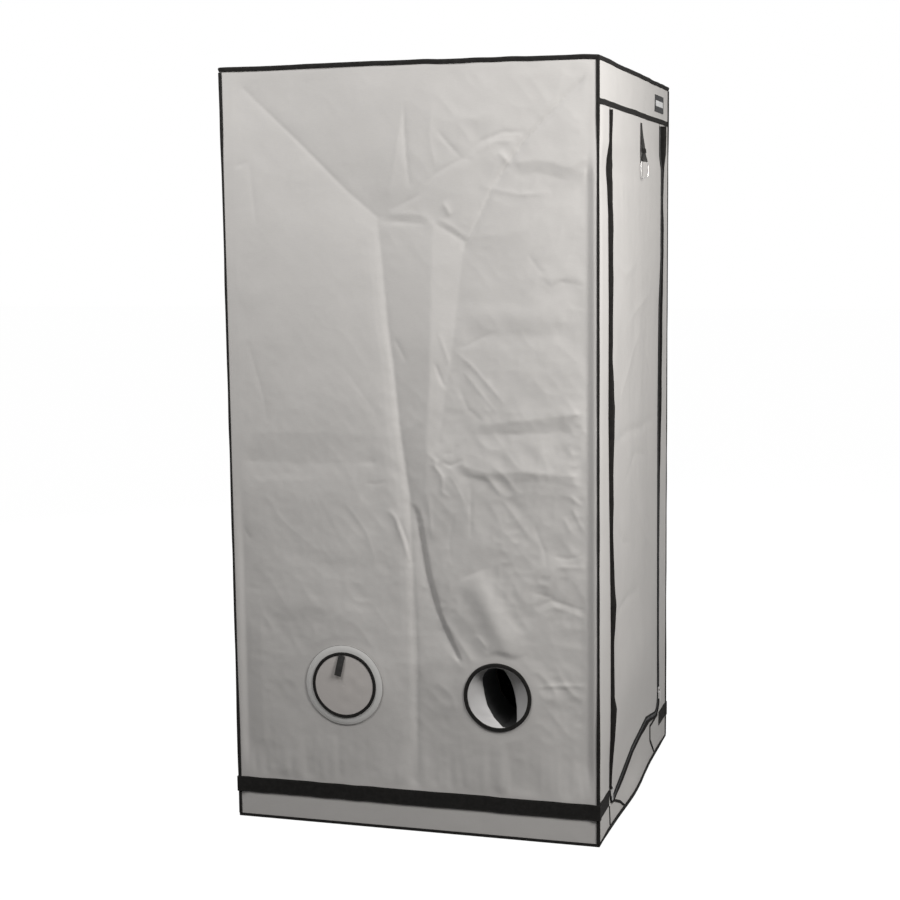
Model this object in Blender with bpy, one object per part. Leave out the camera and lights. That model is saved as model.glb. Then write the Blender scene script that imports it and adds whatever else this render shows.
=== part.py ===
"""Indoor grow tent: a steel pole frame inside a sewn cloth skin with a zipped front door.

The door faces -Y, the wall with the two ports faces -X, and +Z is up. The origin is at the
middle of the base. All lengths are in metres.
"""
import math

import bmesh
import bpy
from mathutils import Matrix, Vector
from mathutils.geometry import delaunay_2d_cdt

# Skin, measured over its cloth panels
tent_width = 1.000
tent_depth = 1.000
tent_height = 2.000
cloth = 0.0012
gap = 0.0003

# Bindings and webbing sewn on the skin
tape = 0.0012
binding_leg = 0.009
base_binding_height = 0.008
header_binding_height = 0.014
belt_low = 0.070
belt_height = 0.042
belt_thickness = 0.0015
belt_ramp = 0.015

# Pole frame
pole_diameter = 0.016
pole_wall = 0.001
corner_block = 0.020
corner_block_bevel = 0.002
spigot_length = 0.045
post_joint_height = 1.000
swage_length = 0.060

# Hanging bars for lamps and filters
bar_hook_wall = 0.0016
bar_hook_length = 0.024
bar_front_place = -0.170
bar_back_place = 0.170

# Front panels and the door's zip, which runs down both sides and sags along the bottom
header_depth = 0.114
jamb_width = 0.140
zip_left_height = 0.072
zip_right_height = 0.125
zip_left_radius = 0.030
zip_right_radius = 0.050
zip_tape_width = 0.018
zip_bead_width = 0.0032
zip_bead_height = 0.0028
zip_bead_gap = 0.0006
zip_cloth_setback = 0.006
zip_top_clearance = 0.006

# Zip sliders and their pulls
slider_length = 0.017
slider_plate = 0.0014
slider_flange = 0.0012
slider_above_corner = 0.004
ear_thickness = 0.0012
ear_length = 0.0050
pin_radius = 0.0009
eye_radius = 0.0024
pull_width = 0.0054
pull_thickness = 0.0014
pull_length = 0.034
weld_overlap = 0.0004

# Tie strap and ring that hold the door up when it is rolled
strap_place = 0.062
strap_below_header = 0.014
strap_width = 0.020
strap_length = 0.106
strap_loop_radius = 0.0022
strap_ply_gap = 0.0005
ring_wire_radius = 0.0015
ring_width = 0.0300
ring_height = 0.0500
ring_corner_radius = 0.0045

# Air intake port in the left wall
intake_place = -0.232
intake_height = 0.379
intake_ring_radius = 0.091
intake_ring_width = 0.010
intake_ring_thickness = 0.0026
intake_lap = 0.0040
sleeve_length = 0.150
throat_half_width = 0.036
throat_half_height = 0.074
throat_shift = 0.018
sleeve_length_shares = (0.0, 0.15, 0.40, 0.70, 1.0)
sleeve_closing_shares = (0.0, 0.05, 0.45, 0.88, 1.0)

# Covered vent in the left wall
vent_place = 0.190
vent_height = 0.386
vent_patch_radius = 0.108
vent_patch_bore = 0.066
vent_cover_radius = 0.089
vent_rim_width = 0.0085
vent_rim_thickness = 0.0026
tab_width = 0.015
tab_length = 0.052
tab_below_rim = 0.004
tab_side = 0.006
tab_tilt = math.radians(12.0)

# Exhaust port, high in the back wall
exhaust_from_side = 0.280
exhaust_below_top = 0.260
exhaust_ring_radius = 0.112
exhaust_ring_width = 0.012
exhaust_sleeve_length = 0.160

# Spill tray on the floor
tray_height = 0.100
tray_wall = 0.0015

# Creases of the left wall. The cloth is flat along its edges, and falls in between them.
flat_margin = 0.045
wall_fold_depth = 0.026
door_fold_depth = 0.014
flat_below_share = 0.075

# A fold's points: place along the depth, height up the tent, and depth of the fold, as shares.
# The sag's points: place along the width, and height as a share of the zip's right height.
back_corner_shares = ((0.418, 0.958, 0.12), (0.283, 0.898, 0.50), (0.068, 0.804, 1.00))
front_corner_shares = (
    (-0.420, 0.944, 0.10),
    (-0.277, 0.876, 0.42),
    (-0.160, 0.871, 0.56),
    (-0.094, 0.847, 0.72),
)
upper_valley_shares = ((0.068, 0.804, 1.00), (0.040, 0.620, 0.95), (0.014, 0.443, 0.80))
lower_valley_shares = ((0.014, 0.443, 0.80), (-0.004, 0.324, 0.58), (-0.004, 0.120, 0.18))
valley_head_shares = ((0.068, 0.804, 1.00), (-0.082, 0.800, 0.74))
band_back_shares = (
    (-0.082, 0.800, 0.74),
    (-0.074, 0.660, 0.64),
    (-0.067, 0.522, 0.58),
    (-0.045, 0.440, 0.56),
)
band_top_shares = ((-0.082, 0.800, 0.74), (-0.153, 0.777, 0.86), (-0.129, 0.664, 0.84))
band_front_shares = ((-0.129, 0.664, 0.84), (-0.106, 0.600, 0.74), (-0.067, 0.522, 0.58))
intake_pull_shares = (
    (-0.015, 0.400, 0.50),
    (-0.053, 0.325, 0.62),
    (-0.093, 0.274, 0.60),
    (-0.128, 0.237, 0.36),
)
back_packing_shares = ((0.250, 0.530, 0.44), (0.110, 0.528, 0.66))
front_packing_shares = ((-0.380, 0.530, 0.16), (-0.200, 0.528, 0.46))
zip_sag_shares = ((-0.059, 1.03), (0.162, 1.20))
left_wall_fold_shares = (
    back_corner_shares,
    front_corner_shares,
    upper_valley_shares,
    lower_valley_shares,
    valley_head_shares,
    band_back_shares,
    band_top_shares,
    band_front_shares,
    intake_pull_shares,
    back_packing_shares,
    front_packing_shares,
)
door_fold_shares = (
    ((-0.210, 0.850, 0.30), (-0.190, 0.620, 0.70), (-0.200, 0.400, 0.60), (-0.180, 0.180, 0.30)),
    ((-0.030, 0.860, 0.35), (-0.010, 0.640, 0.60), (0.010, 0.420, 0.80), (-0.020, 0.200, 0.35)),
    ((0.180, 0.850, 0.30), (0.170, 0.600, 0.90), (0.200, 0.380, 1.00), (0.190, 0.180, 0.40)),
)

# How finely round and cut shapes are drawn
pole_steps = 20
port_steps = 32
small_steps = 12
corner_steps = 6
border_steps = 12
overrun = 0.004
weld = 0.000001

# Colour, roughness and metallic value of each finish
cloth_finish = ((0.550, 0.540, 0.525), 0.82, 0.0)
liner_finish = ((0.500, 0.510, 0.520), 0.35, 0.3)
webbing_finish = ((0.018, 0.017, 0.017), 0.75, 0.0)
pole_finish = ((0.780, 0.780, 0.770), 0.35, 0.0)
connector_finish = ((0.030, 0.030, 0.032), 0.45, 0.0)
metal_finish = ((0.620, 0.620, 0.610), 0.30, 1.0)
cover_finish = ((0.260, 0.245, 0.225), 0.82, 0.0)
patch_finish = ((0.330, 0.320, 0.300), 0.70, 0.0)

# Planes and centre lines that follow from the sizes
half_width = tent_width / 2
half_depth = tent_depth / 2
wall_low = cloth + gap
wall_high = tent_height - cloth - gap
front_half_width = half_width - cloth - gap
frame_x = front_half_width - corner_block / 2
frame_y = half_depth - cloth - gap - corner_block / 2
frame_low = wall_low + corner_block / 2
frame_high = wall_high - corner_block / 2
pole_radius = pole_diameter / 2
pole_bore = pole_radius - pole_wall
spigot_radius = pole_bore - gap
header_low = tent_height - header_depth
door_top = header_low - gap
zip_half = half_width - jamb_width
zip_arc_left = zip_left_height + zip_left_radius
zip_arc_right = zip_right_height + zip_right_radius
zip_top = door_top - zip_top_clearance
binding_out = gap + tape
bead_front = gap + zip_bead_height
plate_back = bead_front + gap
plate_front = plate_back + slider_plate
pin_out = plate_front + eye_radius + gap
ear_half_span = pull_width / 2 + gap + ear_thickness
slider_above_arc = slider_above_corner + slider_length / 2
intake_hole = intake_ring_radius - intake_lap
exhaust_place = half_width - exhaust_from_side
exhaust_height = tent_height - exhaust_below_top
exhaust_hole = exhaust_ring_radius - intake_lap


def clear_scene():
    """Remove whatever the scene holds."""
    for old in list(bpy.data.objects):
        bpy.data.objects.remove(old, do_unlink=True)


def add(name, shape, finish, pivot=(0.0, 0.0, 0.0), smooth=False):
    """Turn a bmesh into a named object whose origin is at its pivot."""
    bmesh.ops.recalc_face_normals(shape, faces=shape.faces)
    bmesh.ops.translate(shape, verts=shape.verts, vec=-Vector(pivot))
    mesh = bpy.data.meshes.new(name)
    shape.to_mesh(mesh)
    shape.free()
    if smooth:
        mesh.shade_smooth()
        mesh.set_sharp_from_angle(angle=math.radians(35.0))
    made = bpy.data.objects.new(name, mesh)
    made.location = pivot
    bpy.context.scene.collection.objects.link(made)
    paint(made, finish)
    return made


def paint(made, finish):
    """Give an object a material of its own."""
    colour, roughness, metallic = finish
    coat = bpy.data.materials.new(made.name)
    coat.use_nodes = True
    shader = coat.node_tree.nodes["Principled BSDF"]
    shader.inputs["Base Color"].default_value = (*colour, 1.0)
    shader.inputs["Roughness"].default_value = roughness
    shader.inputs["Metallic"].default_value = metallic
    made.data.materials.append(coat)


def carry(child, parent):
    """Parent a piece to the piece that carries it, and leave it where it is."""
    origin = Vector(parent.location)
    child.parent = parent
    child.matrix_parent_inverse = Matrix.Translation(-origin)


def slab(low, high):
    """A box between two corners."""
    low = Vector(low)
    high = Vector(high)
    shape = bmesh.new()
    bmesh.ops.create_cube(shape, size=1.0)
    bmesh.ops.scale(shape, verts=shape.verts, vec=high - low)
    bmesh.ops.translate(shape, verts=shape.verts, vec=(high + low) / 2)
    return shape


def cylinder(radius, start, end, steps):
    """A solid round bar between two points."""
    start = Vector(start)
    end = Vector(end)
    shape = bmesh.new()
    bmesh.ops.create_cone(
        shape, cap_ends=True, segments=steps, radius1=radius, radius2=radius, depth=(end - start).length
    )
    turn = Vector((0.0, 0.0, 1.0)).rotation_difference(end - start).to_matrix()
    bmesh.ops.rotate(shape, verts=shape.verts, matrix=turn)
    bmesh.ops.translate(shape, verts=shape.verts, vec=(start + end) / 2)
    return shape


def prism(outline, low, high, place):
    """A flat outline given a thickness. place turns (across, up, level) into a point."""
    shape = bmesh.new()
    floor = [shape.verts.new(place(a, b, low)) for a, b in outline]
    lid = [shape.verts.new(place(a, b, high)) for a, b in outline]
    shape.faces.new(floor)
    shape.faces.new(lid)
    close_sides(shape, floor, lid)
    return shape


def close_sides(shape, ring, other):
    """Join two closed rings of points with a band of faces."""
    for index, point in enumerate(ring):
        before = index - 1
        shape.faces.new((ring[before], point, other[index], other[before]))


def turned(profile, place, steps):
    """A closed (radius, level) profile carried round an axis."""
    shape = bmesh.new()
    rings = []
    for step in range(steps):
        angle = math.tau * step / steps
        across = math.cos(angle)
        up = math.sin(angle)
        rings.append([shape.verts.new(place(r * across, r * up, level)) for r, level in profile])
    for step in range(steps):
        close_sides(shape, rings[step - 1], rings[step])
    return shape


def mitre(before, point, after):
    """How far and which way an offset moves a corner of a path, to the right of its travel."""
    sides = []
    for start, end in ((before, point), (point, after)):
        if start is not None and end is not None:
            run = (end - start).normalized()
            sides.append(Vector((run.y, -run.x)))
    first = sides[0]
    last = sides[-1]
    return (first + last) / (1.0 + first.dot(last))


def swept(path, section, place, closed=False):
    """A closed (side, lift) section carried along a flat path."""
    shape = bmesh.new()
    points = [Vector(point) for point in path]
    count = len(points)
    rings = []
    for index, point in enumerate(points):
        before = points[index - 1] if closed or index > 0 else None
        after = points[(index + 1) % count] if closed or index < count - 1 else None
        shift = mitre(before, point, after)
        spots = [(point + shift * side, lift) for side, lift in section]
        rings.append([shape.verts.new(place(spot.x, spot.y, lift)) for spot, lift in spots])
    for index in range(0 if closed else 1, count):
        close_sides(shape, rings[index - 1], rings[index])
    if not closed:
        shape.faces.new(rings[0])
        shape.faces.new(rings[-1])
    return shape


def joined(body, tools, operation):
    """Unite solids with a body, or cut them out of it."""
    base = add("base", body, pole_finish)
    spares = [add("tool", tool, pole_finish) for tool in tools]
    for spare in spares:
        step = base.modifiers.new("join", "BOOLEAN")
        step.operation = operation
        step.solver = "EXACT"
        step.object = spare
    graph = bpy.context.evaluated_depsgraph_get()
    mesh = bpy.data.meshes.new_from_object(base.evaluated_get(graph))
    shape = bmesh.new()
    shape.from_mesh(mesh)
    bmesh.ops.remove_doubles(shape, verts=shape.verts, dist=weld)
    for spare in (base, *spares):
        bpy.data.objects.remove(spare, do_unlink=True)
    return shape


def on_plan(a, b, level):
    """A point of the plan view: across X, along Y, at a height."""
    return (a, b, level)


def on_front(a, b, out):
    """A point of the front: across X, up Z, and out from the skin's face."""
    return (a, -half_depth - out, b)


def on_back(a, b, out):
    """A point of the back: across X, up Z, and out from the skin's face."""
    return (a, half_depth + out, b)


def on_left(a, b, out):
    """A point of the left wall: along Y, up Z, and out from the skin's face."""
    return (-half_width - out, a, b)


def arc(centre, radius, start, end, steps):
    """Points along an arc, with both ends."""
    middle = Vector(centre)
    turns = [start + (end - start) * step / steps for step in range(steps + 1)]
    return [(middle.x + radius * math.cos(t), middle.y + radius * math.sin(t)) for t in turns]


def zip_line(offset):
    """The zip's line, moved outwards by an offset: down the left, along the bottom, up the right."""
    edge = zip_half + offset
    left_middle = (zip_left_radius - zip_half, zip_arc_left)
    right_middle = (zip_half - zip_right_radius, zip_arc_right)
    left = arc(left_middle, zip_left_radius + offset, math.pi, 1.5 * math.pi, corner_steps)
    right = arc(right_middle, zip_right_radius + offset, 1.5 * math.pi, 2.0 * math.pi, corner_steps)
    sag = [(a * tent_width, b * zip_right_height - offset) for a, b in zip_sag_shares]
    return [(-edge, zip_top), *left, *sag, *right, (edge, zip_top)]


def rounded_rectangle(width, height, radius, centre):
    """The points of a rectangle with round corners, anticlockwise."""
    middle = Vector(centre)
    points = []
    for quarter, (sx, sy) in enumerate(((1, 1), (-1, 1), (-1, -1), (1, -1))):
        corner = (middle.x + sx * (width / 2 - radius), middle.y + sy * (height / 2 - radius))
        start = quarter * math.pi / 2
        points.extend(arc(corner, radius, start, start + math.pi / 2, corner_steps))
    return points


def corner_shape():
    """A rounded block with a spigot along +X, +Y and +Z."""
    half = corner_block / 2
    body = slab((-half, -half, -half), (half, half, half))
    bmesh.ops.bevel(
        body, geom=body.edges[:], offset=corner_block_bevel, segments=2, profile=0.5, affect="EDGES"
    )
    reach = half + spigot_length
    ends = ((reach, 0.0, 0.0), (0.0, reach, 0.0), (0.0, 0.0, reach))
    spigots = [cylinder(spigot_radius, (0.0, 0.0, 0.0), end, pole_steps) for end in ends]
    return joined(body, spigots, "UNION")


def build_corners():
    """Eight three-way corner connectors, whose spigots point into the frame's tubes."""
    master = corner_shape()
    for level, sz in (("base", -1), ("top", 1)):
        for side, sy in (("front", -1), ("back", 1)):
            for hand, sx in (("left", -1), ("right", 1)):
                shape = master.copy()
                bmesh.ops.scale(shape, verts=shape.verts, vec=(-sx, -sy, -sz))
                height = frame_high if sz > 0 else frame_low
                bmesh.ops.translate(shape, verts=shape.verts, vec=(sx * frame_x, sy * frame_y, height))
                add(f"{level}_corner_{side}_{hand}", shape, connector_finish, smooth=True)
    master.free()


def tube(start, end, axis, place):
    """An open tube of the frame along one axis, round a centre line."""
    profile = ((pole_radius, start), (pole_radius, end), (pole_bore, end), (pole_bore, start))
    orders = {
        "x": lambda a, b, level: (level, place[0] + a, place[1] + b),
        "y": lambda a, b, level: (place[0] + a, level, place[1] + b),
        "z": lambda a, b, level: (place[0] + a, place[1] + b, level),
    }
    return turned(profile, orders[axis], pole_steps)


def build_rails():
    """Eight horizontal tubes, four round the base and four round the top."""
    along_x = frame_x - corner_block / 2 - gap
    along_y = frame_y - corner_block / 2 - gap
    for level, height in (("base", frame_low), ("top", frame_high)):
        for name, place in (("front", -frame_y), ("back", frame_y)):
            rail = tube(-along_x, along_x, "x", (place, height))
            add(f"{level}_rail_{name}", rail, pole_finish, smooth=True)
        for name, place in (("left", -frame_x), ("right", frame_x)):
            rail = tube(-along_y, along_y, "y", (place, height))
            add(f"{level}_rail_{name}", rail, pole_finish, smooth=True)


def upper_post(x, y):
    """A tube whose lower end is swaged down to slip into the lower post."""
    start = post_joint_height + gap
    tip = post_joint_height - swage_length
    end = frame_high - corner_block / 2 - gap
    swage_bore = spigot_radius - pole_wall
    profile = (
        (spigot_radius, tip),
        (spigot_radius, start),
        (pole_radius, start),
        (pole_radius, end),
        (pole_bore, end),
        (pole_bore, start + pole_wall),
        (swage_bore, start),
        (swage_bore, tip),
    )
    return turned(profile, lambda a, b, level: (x + a, y + b, level), pole_steps)


def build_posts():
    """Four posts, each of a lower and an upper tube."""
    start = frame_low + corner_block / 2 + gap
    for side, sy in (("front", -1), ("back", 1)):
        for hand, sx in (("left", -1), ("right", 1)):
            x = sx * frame_x
            y = sy * frame_y
            lower = tube(start, post_joint_height, "z", (x, y))
            add(f"lower_post_{side}_{hand}", lower, pole_finish, smooth=True)
            add(f"upper_post_{side}_{hand}", upper_post(x, y), pole_finish, smooth=True)


def hanging_bar(place):
    """A tube across the tent whose ends hook over the two side rails."""
    body = cylinder(pole_radius, (-frame_x, place, frame_high), (frame_x, place, frame_high), pole_steps)
    hook_radius = pole_radius + gap + bar_hook_wall
    channel = pole_radius + gap
    low_y = place - bar_hook_length / 2
    high_y = place + bar_hook_length / 2
    saddles = []
    cuts = []
    for side in (-1, 1):
        x = side * frame_x
        saddles.append(cylinder(hook_radius, (x, low_y, frame_high), (x, high_y, frame_high), pole_steps))
        start = (x, low_y - overrun, frame_high)
        end = (x, high_y + overrun, frame_high)
        cuts.append(cylinder(channel, start, end, pole_steps))
        near = x - side * channel
        far = x + side * (hook_radius + overrun)
        bottom = frame_high - hook_radius - overrun
        corner_low = (min(near, far), low_y - overrun, bottom)
        cuts.append(slab(corner_low, (max(near, far), high_y + overrun, frame_high)))
    cuts.append(cylinder(pole_bore, (-frame_x, place, frame_high), (frame_x, place, frame_high), pole_steps))
    return joined(joined(body, saddles, "UNION"), cuts, "DIFFERENCE")


def build_bars():
    """Two hanging bars that slide along the side rails."""
    for name, place in (("front", bar_front_place), ("back", bar_back_place)):
        pivot = (0.0, place, frame_high)
        add(f"hanging_bar_{name}", hanging_bar(place), pole_finish, pivot=pivot, smooth=True)


def border(low, high):
    """A rectangle's edge, split evenly so that no triangle along it is long."""
    corners = ((low[0], low[1]), (high[0], low[1]), (high[0], high[1]), (low[0], high[1]))
    points = []
    for index, corner in enumerate(corners):
        start = Vector(corner)
        end = Vector(corners[(index + 1) % 4])
        points.extend(tuple(start.lerp(end, step / border_steps)) for step in range(border_steps))
    return points


def folded_sheet(outline, lines, holes, place):
    """A cloth panel, triangulated through its fold lines and round its holes.

    A line is a list of (across, up, depth), and place turns (across, up, out) into a point.
    """
    spots = []
    edges = []
    depths = []
    rings = [[(a, b, 0.0) for a, b in outline], *([(a, b, 0.0) for a, b in hole] for hole in holes)]
    known = {}
    for points, closed in [(ring, True) for ring in rings] + [(line, False) for line in lines]:
        indices = []
        for a, b, depth in points:
            if (a, b) not in known:
                known[(a, b)] = len(spots)
                spots.append(Vector((a, b)))
                depths.append(depth)
            indices.append(known[(a, b)])
        edges.extend(zip(indices, indices[1:]))
        if closed:
            edges.append((indices[-1], indices[0]))
    inside_outline = 1
    flat, _, faces, sources, _, _ = delaunay_2d_cdt(spots, edges, [], inside_outline, weld)
    keep = [face for face in faces if not in_hole(face, flat, holes)]
    falls = []
    for point, known_points in zip(flat, sources):
        crossing = not known_points
        falls.append(crossing_depth(point, spots, edges, depths) if crossing else depths[known_points[0]])
    shape = bmesh.new()
    outer = [shape.verts.new(place(v.x, v.y, -fall)) for v, fall in zip(flat, falls)]
    inner = [shape.verts.new(place(v.x, v.y, -fall - cloth)) for v, fall in zip(flat, falls)]
    for face in keep:
        shape.faces.new([outer[index] for index in face])
        shape.faces.new([inner[index] for index in reversed(face)])
    close_rim(shape, keep, outer, inner)
    return shape


def crossing_depth(point, spots, edges, depths):
    """The depth where two lines cross, taken along the deeper of them."""
    found = [0.0]
    for start, end in edges:
        run = spots[end] - spots[start]
        share = (point - spots[start]).dot(run) / run.length_squared
        if 0.0 <= share <= 1.0 and (spots[start] + run * share - point).length < weld:
            found.append(depths[start] + (depths[end] - depths[start]) * share)
    return max(found)


def in_hole(face, flat, holes):
    """Whether a triangle lies inside one of the round holes."""
    middle = sum((flat[index] for index in face), Vector((0.0, 0.0))) / len(face)
    for hole in holes:
        centre = sum((Vector(point) for point in hole), Vector((0.0, 0.0))) / len(hole)
        if (middle - centre).length < (Vector(hole[0]) - centre).length:
            return True
    return False


def close_rim(shape, faces, outer, inner):
    """Join the two sides of a sheet along every edge that only one face has."""
    pairs = [pair for face in faces for pair in zip(face, (*face[1:], face[0]))]
    whole = set(pairs)
    for a, b in pairs:
        if (b, a) not in whole:
            shape.faces.new((outer[b], outer[a], inner[a], inner[b]))


def circle(across, up, radius, steps):
    """The points of a round hole."""
    turns = [math.tau * step / steps for step in range(steps)]
    return [(across + radius * math.cos(t), up + radius * math.sin(t)) for t in turns]


def fold_lines(shares, width, height, depth):
    """Fold lines in metres, from their shares."""
    return [[(a * width, b * height, c * depth) for a, b, c in line] for line in shares]


def margin_line(low_a, low_b, high_a, high_b):
    """The closed line inside which the cloth may fall away from flat."""
    points = [(a, b, 0.0) for a, b in border((low_a, low_b), (high_a, high_b))]
    return [*points, points[0]]


def build_left_wall():
    """The wall with the ports: hip-shaped creases that meet in a long valley."""
    lines = fold_lines(left_wall_fold_shares, tent_depth, tent_height, wall_fold_depth)
    inner = half_depth - flat_margin
    low = flat_below_share * tent_height
    lines.append(margin_line(-inner, low, inner, tent_height - flat_margin))
    vent_edge = circle(vent_place, vent_height, vent_patch_radius, port_steps)
    lines.append([(a, b, 0.0) for a, b in [*vent_edge, vent_edge[0]]])
    lines.append([(vent_place, vent_height, 0.0)])
    hem = circle(intake_place, intake_height, intake_ring_radius + binding_leg, port_steps)
    lines.append([(a, b, 0.0) for a, b in [*hem, hem[0]]])
    hole = circle(intake_place, intake_height, intake_hole, port_steps)
    edge = border((-half_depth, wall_low), (half_depth, wall_high))
    add("left_wall", folded_sheet(edge, lines, [hole], on_left), cloth_finish)


def build_plain_walls():
    """The right wall, and the back wall with its exhaust hole."""
    right = slab((half_width - cloth, -half_depth, wall_low), (half_width, half_depth, wall_high))
    add("right_wall", right, cloth_finish)
    hole = circle(exhaust_place, exhaust_height, exhaust_hole, port_steps)
    edge = border((-front_half_width, wall_low), (front_half_width, wall_high))
    add("back_wall", folded_sheet(edge, [], [hole], on_back), cloth_finish)


def build_roof_and_floor():
    """The flat roof panel and the floor sheet that the tent stands on."""
    roof = slab((-half_width, -half_depth, tent_height - cloth), (half_width, half_depth, tent_height))
    add("roof_panel", roof, cloth_finish)
    add("floor_sheet", slab((-half_width, -half_depth, 0.0), (half_width, half_depth, cloth)), liner_finish)


def build_front():
    """The header, the two jambs and the sill that frame the doorway."""
    back = -half_depth + cloth
    header = slab((-front_half_width, -half_depth, header_low), (front_half_width, back, wall_high))
    add("front_header", header, cloth_finish)
    edge = zip_half + zip_cloth_setback
    for name, side, low in (("left", -1, zip_arc_left), ("right", 1, zip_arc_right)):
        sides = sorted((side * front_half_width, side * edge))
        jamb = slab((sides[0], -half_depth, low + gap), (sides[1], back, door_top))
        add(f"front_jamb_{name}", jamb, cloth_finish)
    curve = zip_line(zip_cloth_setback)[1:-1]
    outline = [
        (-front_half_width, zip_arc_left),
        *curve,
        (front_half_width, zip_arc_right),
        (front_half_width, wall_low),
        (-front_half_width, wall_low),
    ]
    add("front_sill", prism(outline, 0.0, -cloth, on_front), cloth_finish)


def build_bindings():
    """Black tape over every seam of the skin, and along the header's lower edge."""
    loop = [(sx * half_width, sy * half_depth) for sx, sy in ((-1, -1), (1, -1), (1, 1), (-1, 1))]
    top = tent_height + gap
    drop = tent_height - binding_leg
    roof = (
        (gap, drop),
        (binding_out, drop),
        (binding_out, top + tape),
        (-binding_leg, top + tape),
        (-binding_leg, top),
        (gap, top),
    )
    add("roof_binding", swept(loop, roof, on_plan, closed=True), webbing_finish)
    base_top = base_binding_height
    base = ((gap, gap), (binding_out, gap), (binding_out, base_top), (gap, base_top))
    add("base_binding", swept(loop, base, on_plan, closed=True), webbing_finish)
    angle = (
        (-binding_leg, gap),
        (gap, gap),
        (gap, -binding_leg),
        (binding_out, -binding_leg),
        (binding_out, binding_out),
        (-binding_leg, binding_out),
    )
    for side, sy in (("front", -1), ("back", 1)):
        for hand, sx in (("left", -1), ("right", 1)):
            outline = [(sx * (half_width + a), sy * (half_depth + b)) for a, b in angle]
            bar = prism(outline, base_top + gap, drop - gap, on_plan)
            add(f"corner_binding_{side}_{hand}", bar, webbing_finish)
    reach = half_width - binding_leg - gap
    high = header_low + header_binding_height
    edge = ((-reach, header_low), (reach, header_low), (reach, high), (-reach, high))
    add("header_binding", prism(edge, gap, binding_out, on_front), webbing_finish)


def belt_line():
    """The belt's inner face in plan: close on the walls, and lifted over the corner bindings."""
    close = gap
    lifted = binding_out + gap
    flat = binding_leg + gap
    end = zip_half + zip_tape_width + gap
    points = [(end, -half_depth - close)]
    corners = ((1, -1), (1, 1), (-1, 1), (-1, -1))
    for index, (sx, sy) in enumerate(corners):
        arriving_on_x = index % 2 == 0
        for arriving in (True, False):
            steps = ((flat + belt_ramp, close), (flat, lifted))
            for inset, out in steps if arriving else reversed(steps):
                if arriving == arriving_on_x:
                    points.append((sx * (half_width - inset), sy * (half_depth + out)))
                else:
                    points.append((sx * (half_width + out), sy * (half_depth - inset)))
            if arriving:
                points.append((sx * (half_width + lifted), sy * (half_depth + lifted)))
    points.append((-end, -half_depth - close))
    return points


def build_belt():
    """The webbing belt low round the tent, open at the door."""
    high = belt_low + belt_height
    section = ((0.0, belt_low), (belt_thickness, belt_low), (belt_thickness, high), (0.0, high))
    add("base_belt", swept(belt_line(), section, on_plan), webbing_finish)


def build_door(hinge):
    """The door's cloth, with soft upright folds and round lower corners."""
    edge = zip_half - zip_cloth_setback
    bottom = zip_line(-zip_cloth_setback)[1:-1]
    steps = range(1, border_steps + 1)
    right = [zip_arc_right + (door_top - zip_arc_right) * step / border_steps for step in steps]
    left = [zip_arc_left + (door_top - zip_arc_left) * step / border_steps for step in steps]
    across = [edge - 2 * edge * step / corner_steps for step in range(1, corner_steps)]
    outline = [
        *bottom,
        *((edge, height) for height in right),
        *((place, door_top) for place in across),
        *((-edge, height) for height in reversed(left)),
    ]
    lines = fold_lines(door_fold_shares, tent_width, tent_height, door_fold_depth)
    top = zip_top - header_binding_height
    inner = edge - zip_tape_width
    lines.append(margin_line(-inner, zip_arc_right, inner, top))
    return add("door_panel", folded_sheet(outline, lines, [], on_front), cloth_finish, pivot=hinge)


def zip_half_shape(side):
    """One half of the zip: a tape with the bead of its teeth, outside (1) or inside (-1) the line."""
    bead_edge = zip_bead_gap / 2
    bead_end = bead_edge + zip_bead_width
    section = (
        (side * bead_edge, gap),
        (side * zip_tape_width, gap),
        (side * zip_tape_width, gap + tape),
        (side * bead_end, gap + tape),
        (side * bead_end, bead_front),
        (side * bead_edge, bead_front),
    )
    return swept(zip_line(0.0), section, on_front)


def slider_shape(x, slider_height):
    """A channel that straddles the zip's teeth, with two ears and a pin for the pull."""
    outer = zip_bead_gap / 2 + zip_bead_width + gap + slider_flange
    inner = outer - slider_flange
    foot = gap + tape + gap
    channel = (
        (-outer, foot),
        (-outer, plate_front),
        (outer, plate_front),
        (outer, foot),
        (inner, foot),
        (inner, plate_back),
        (-inner, plate_back),
        (-inner, foot),
    )
    low = slider_height - slider_length / 2
    body = prism(channel, low, low + slider_length, lambda a, b, level: (x + a, -half_depth - b, level))
    parts = []
    for side in (-1, 1):
        far = x + side * ear_half_span
        near = far - side * ear_thickness
        tip = -half_depth - pin_out - eye_radius
        root = -half_depth - plate_front + weld_overlap
        ear_low = (min(near, far), tip, slider_height - ear_length / 2)
        parts.append(slab(ear_low, (max(near, far), root, slider_height + ear_length / 2)))
    reach = ear_half_span - ear_thickness / 2
    y = -half_depth - pin_out
    start = (x - reach, y, slider_height)
    parts.append(cylinder(pin_radius, start, (x + reach, y, slider_height), small_steps))
    return joined(body, parts, "UNION")


def pull_shape(x, slider_height):
    """A zip pull: an eye on the slider's pin, and a plate that hangs from it."""
    y = -half_depth - pin_out
    half = pull_width / 2
    eye = cylinder(eye_radius, (x - half, y, slider_height), (x + half, y, slider_height), small_steps)
    low = (x - half, y - pull_thickness / 2, slider_height - pull_length)
    root = slider_height - (pin_radius + gap + eye_radius) / 2
    plate = slab(low, (x + half, y + pull_thickness / 2, root))
    reach = half + overrun
    start = (x - reach, y, slider_height)
    bore = cylinder(pin_radius + gap, start, (x + reach, y, slider_height), small_steps)
    return joined(joined(eye, [plate], "UNION"), [bore], "DIFFERENCE")


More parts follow.
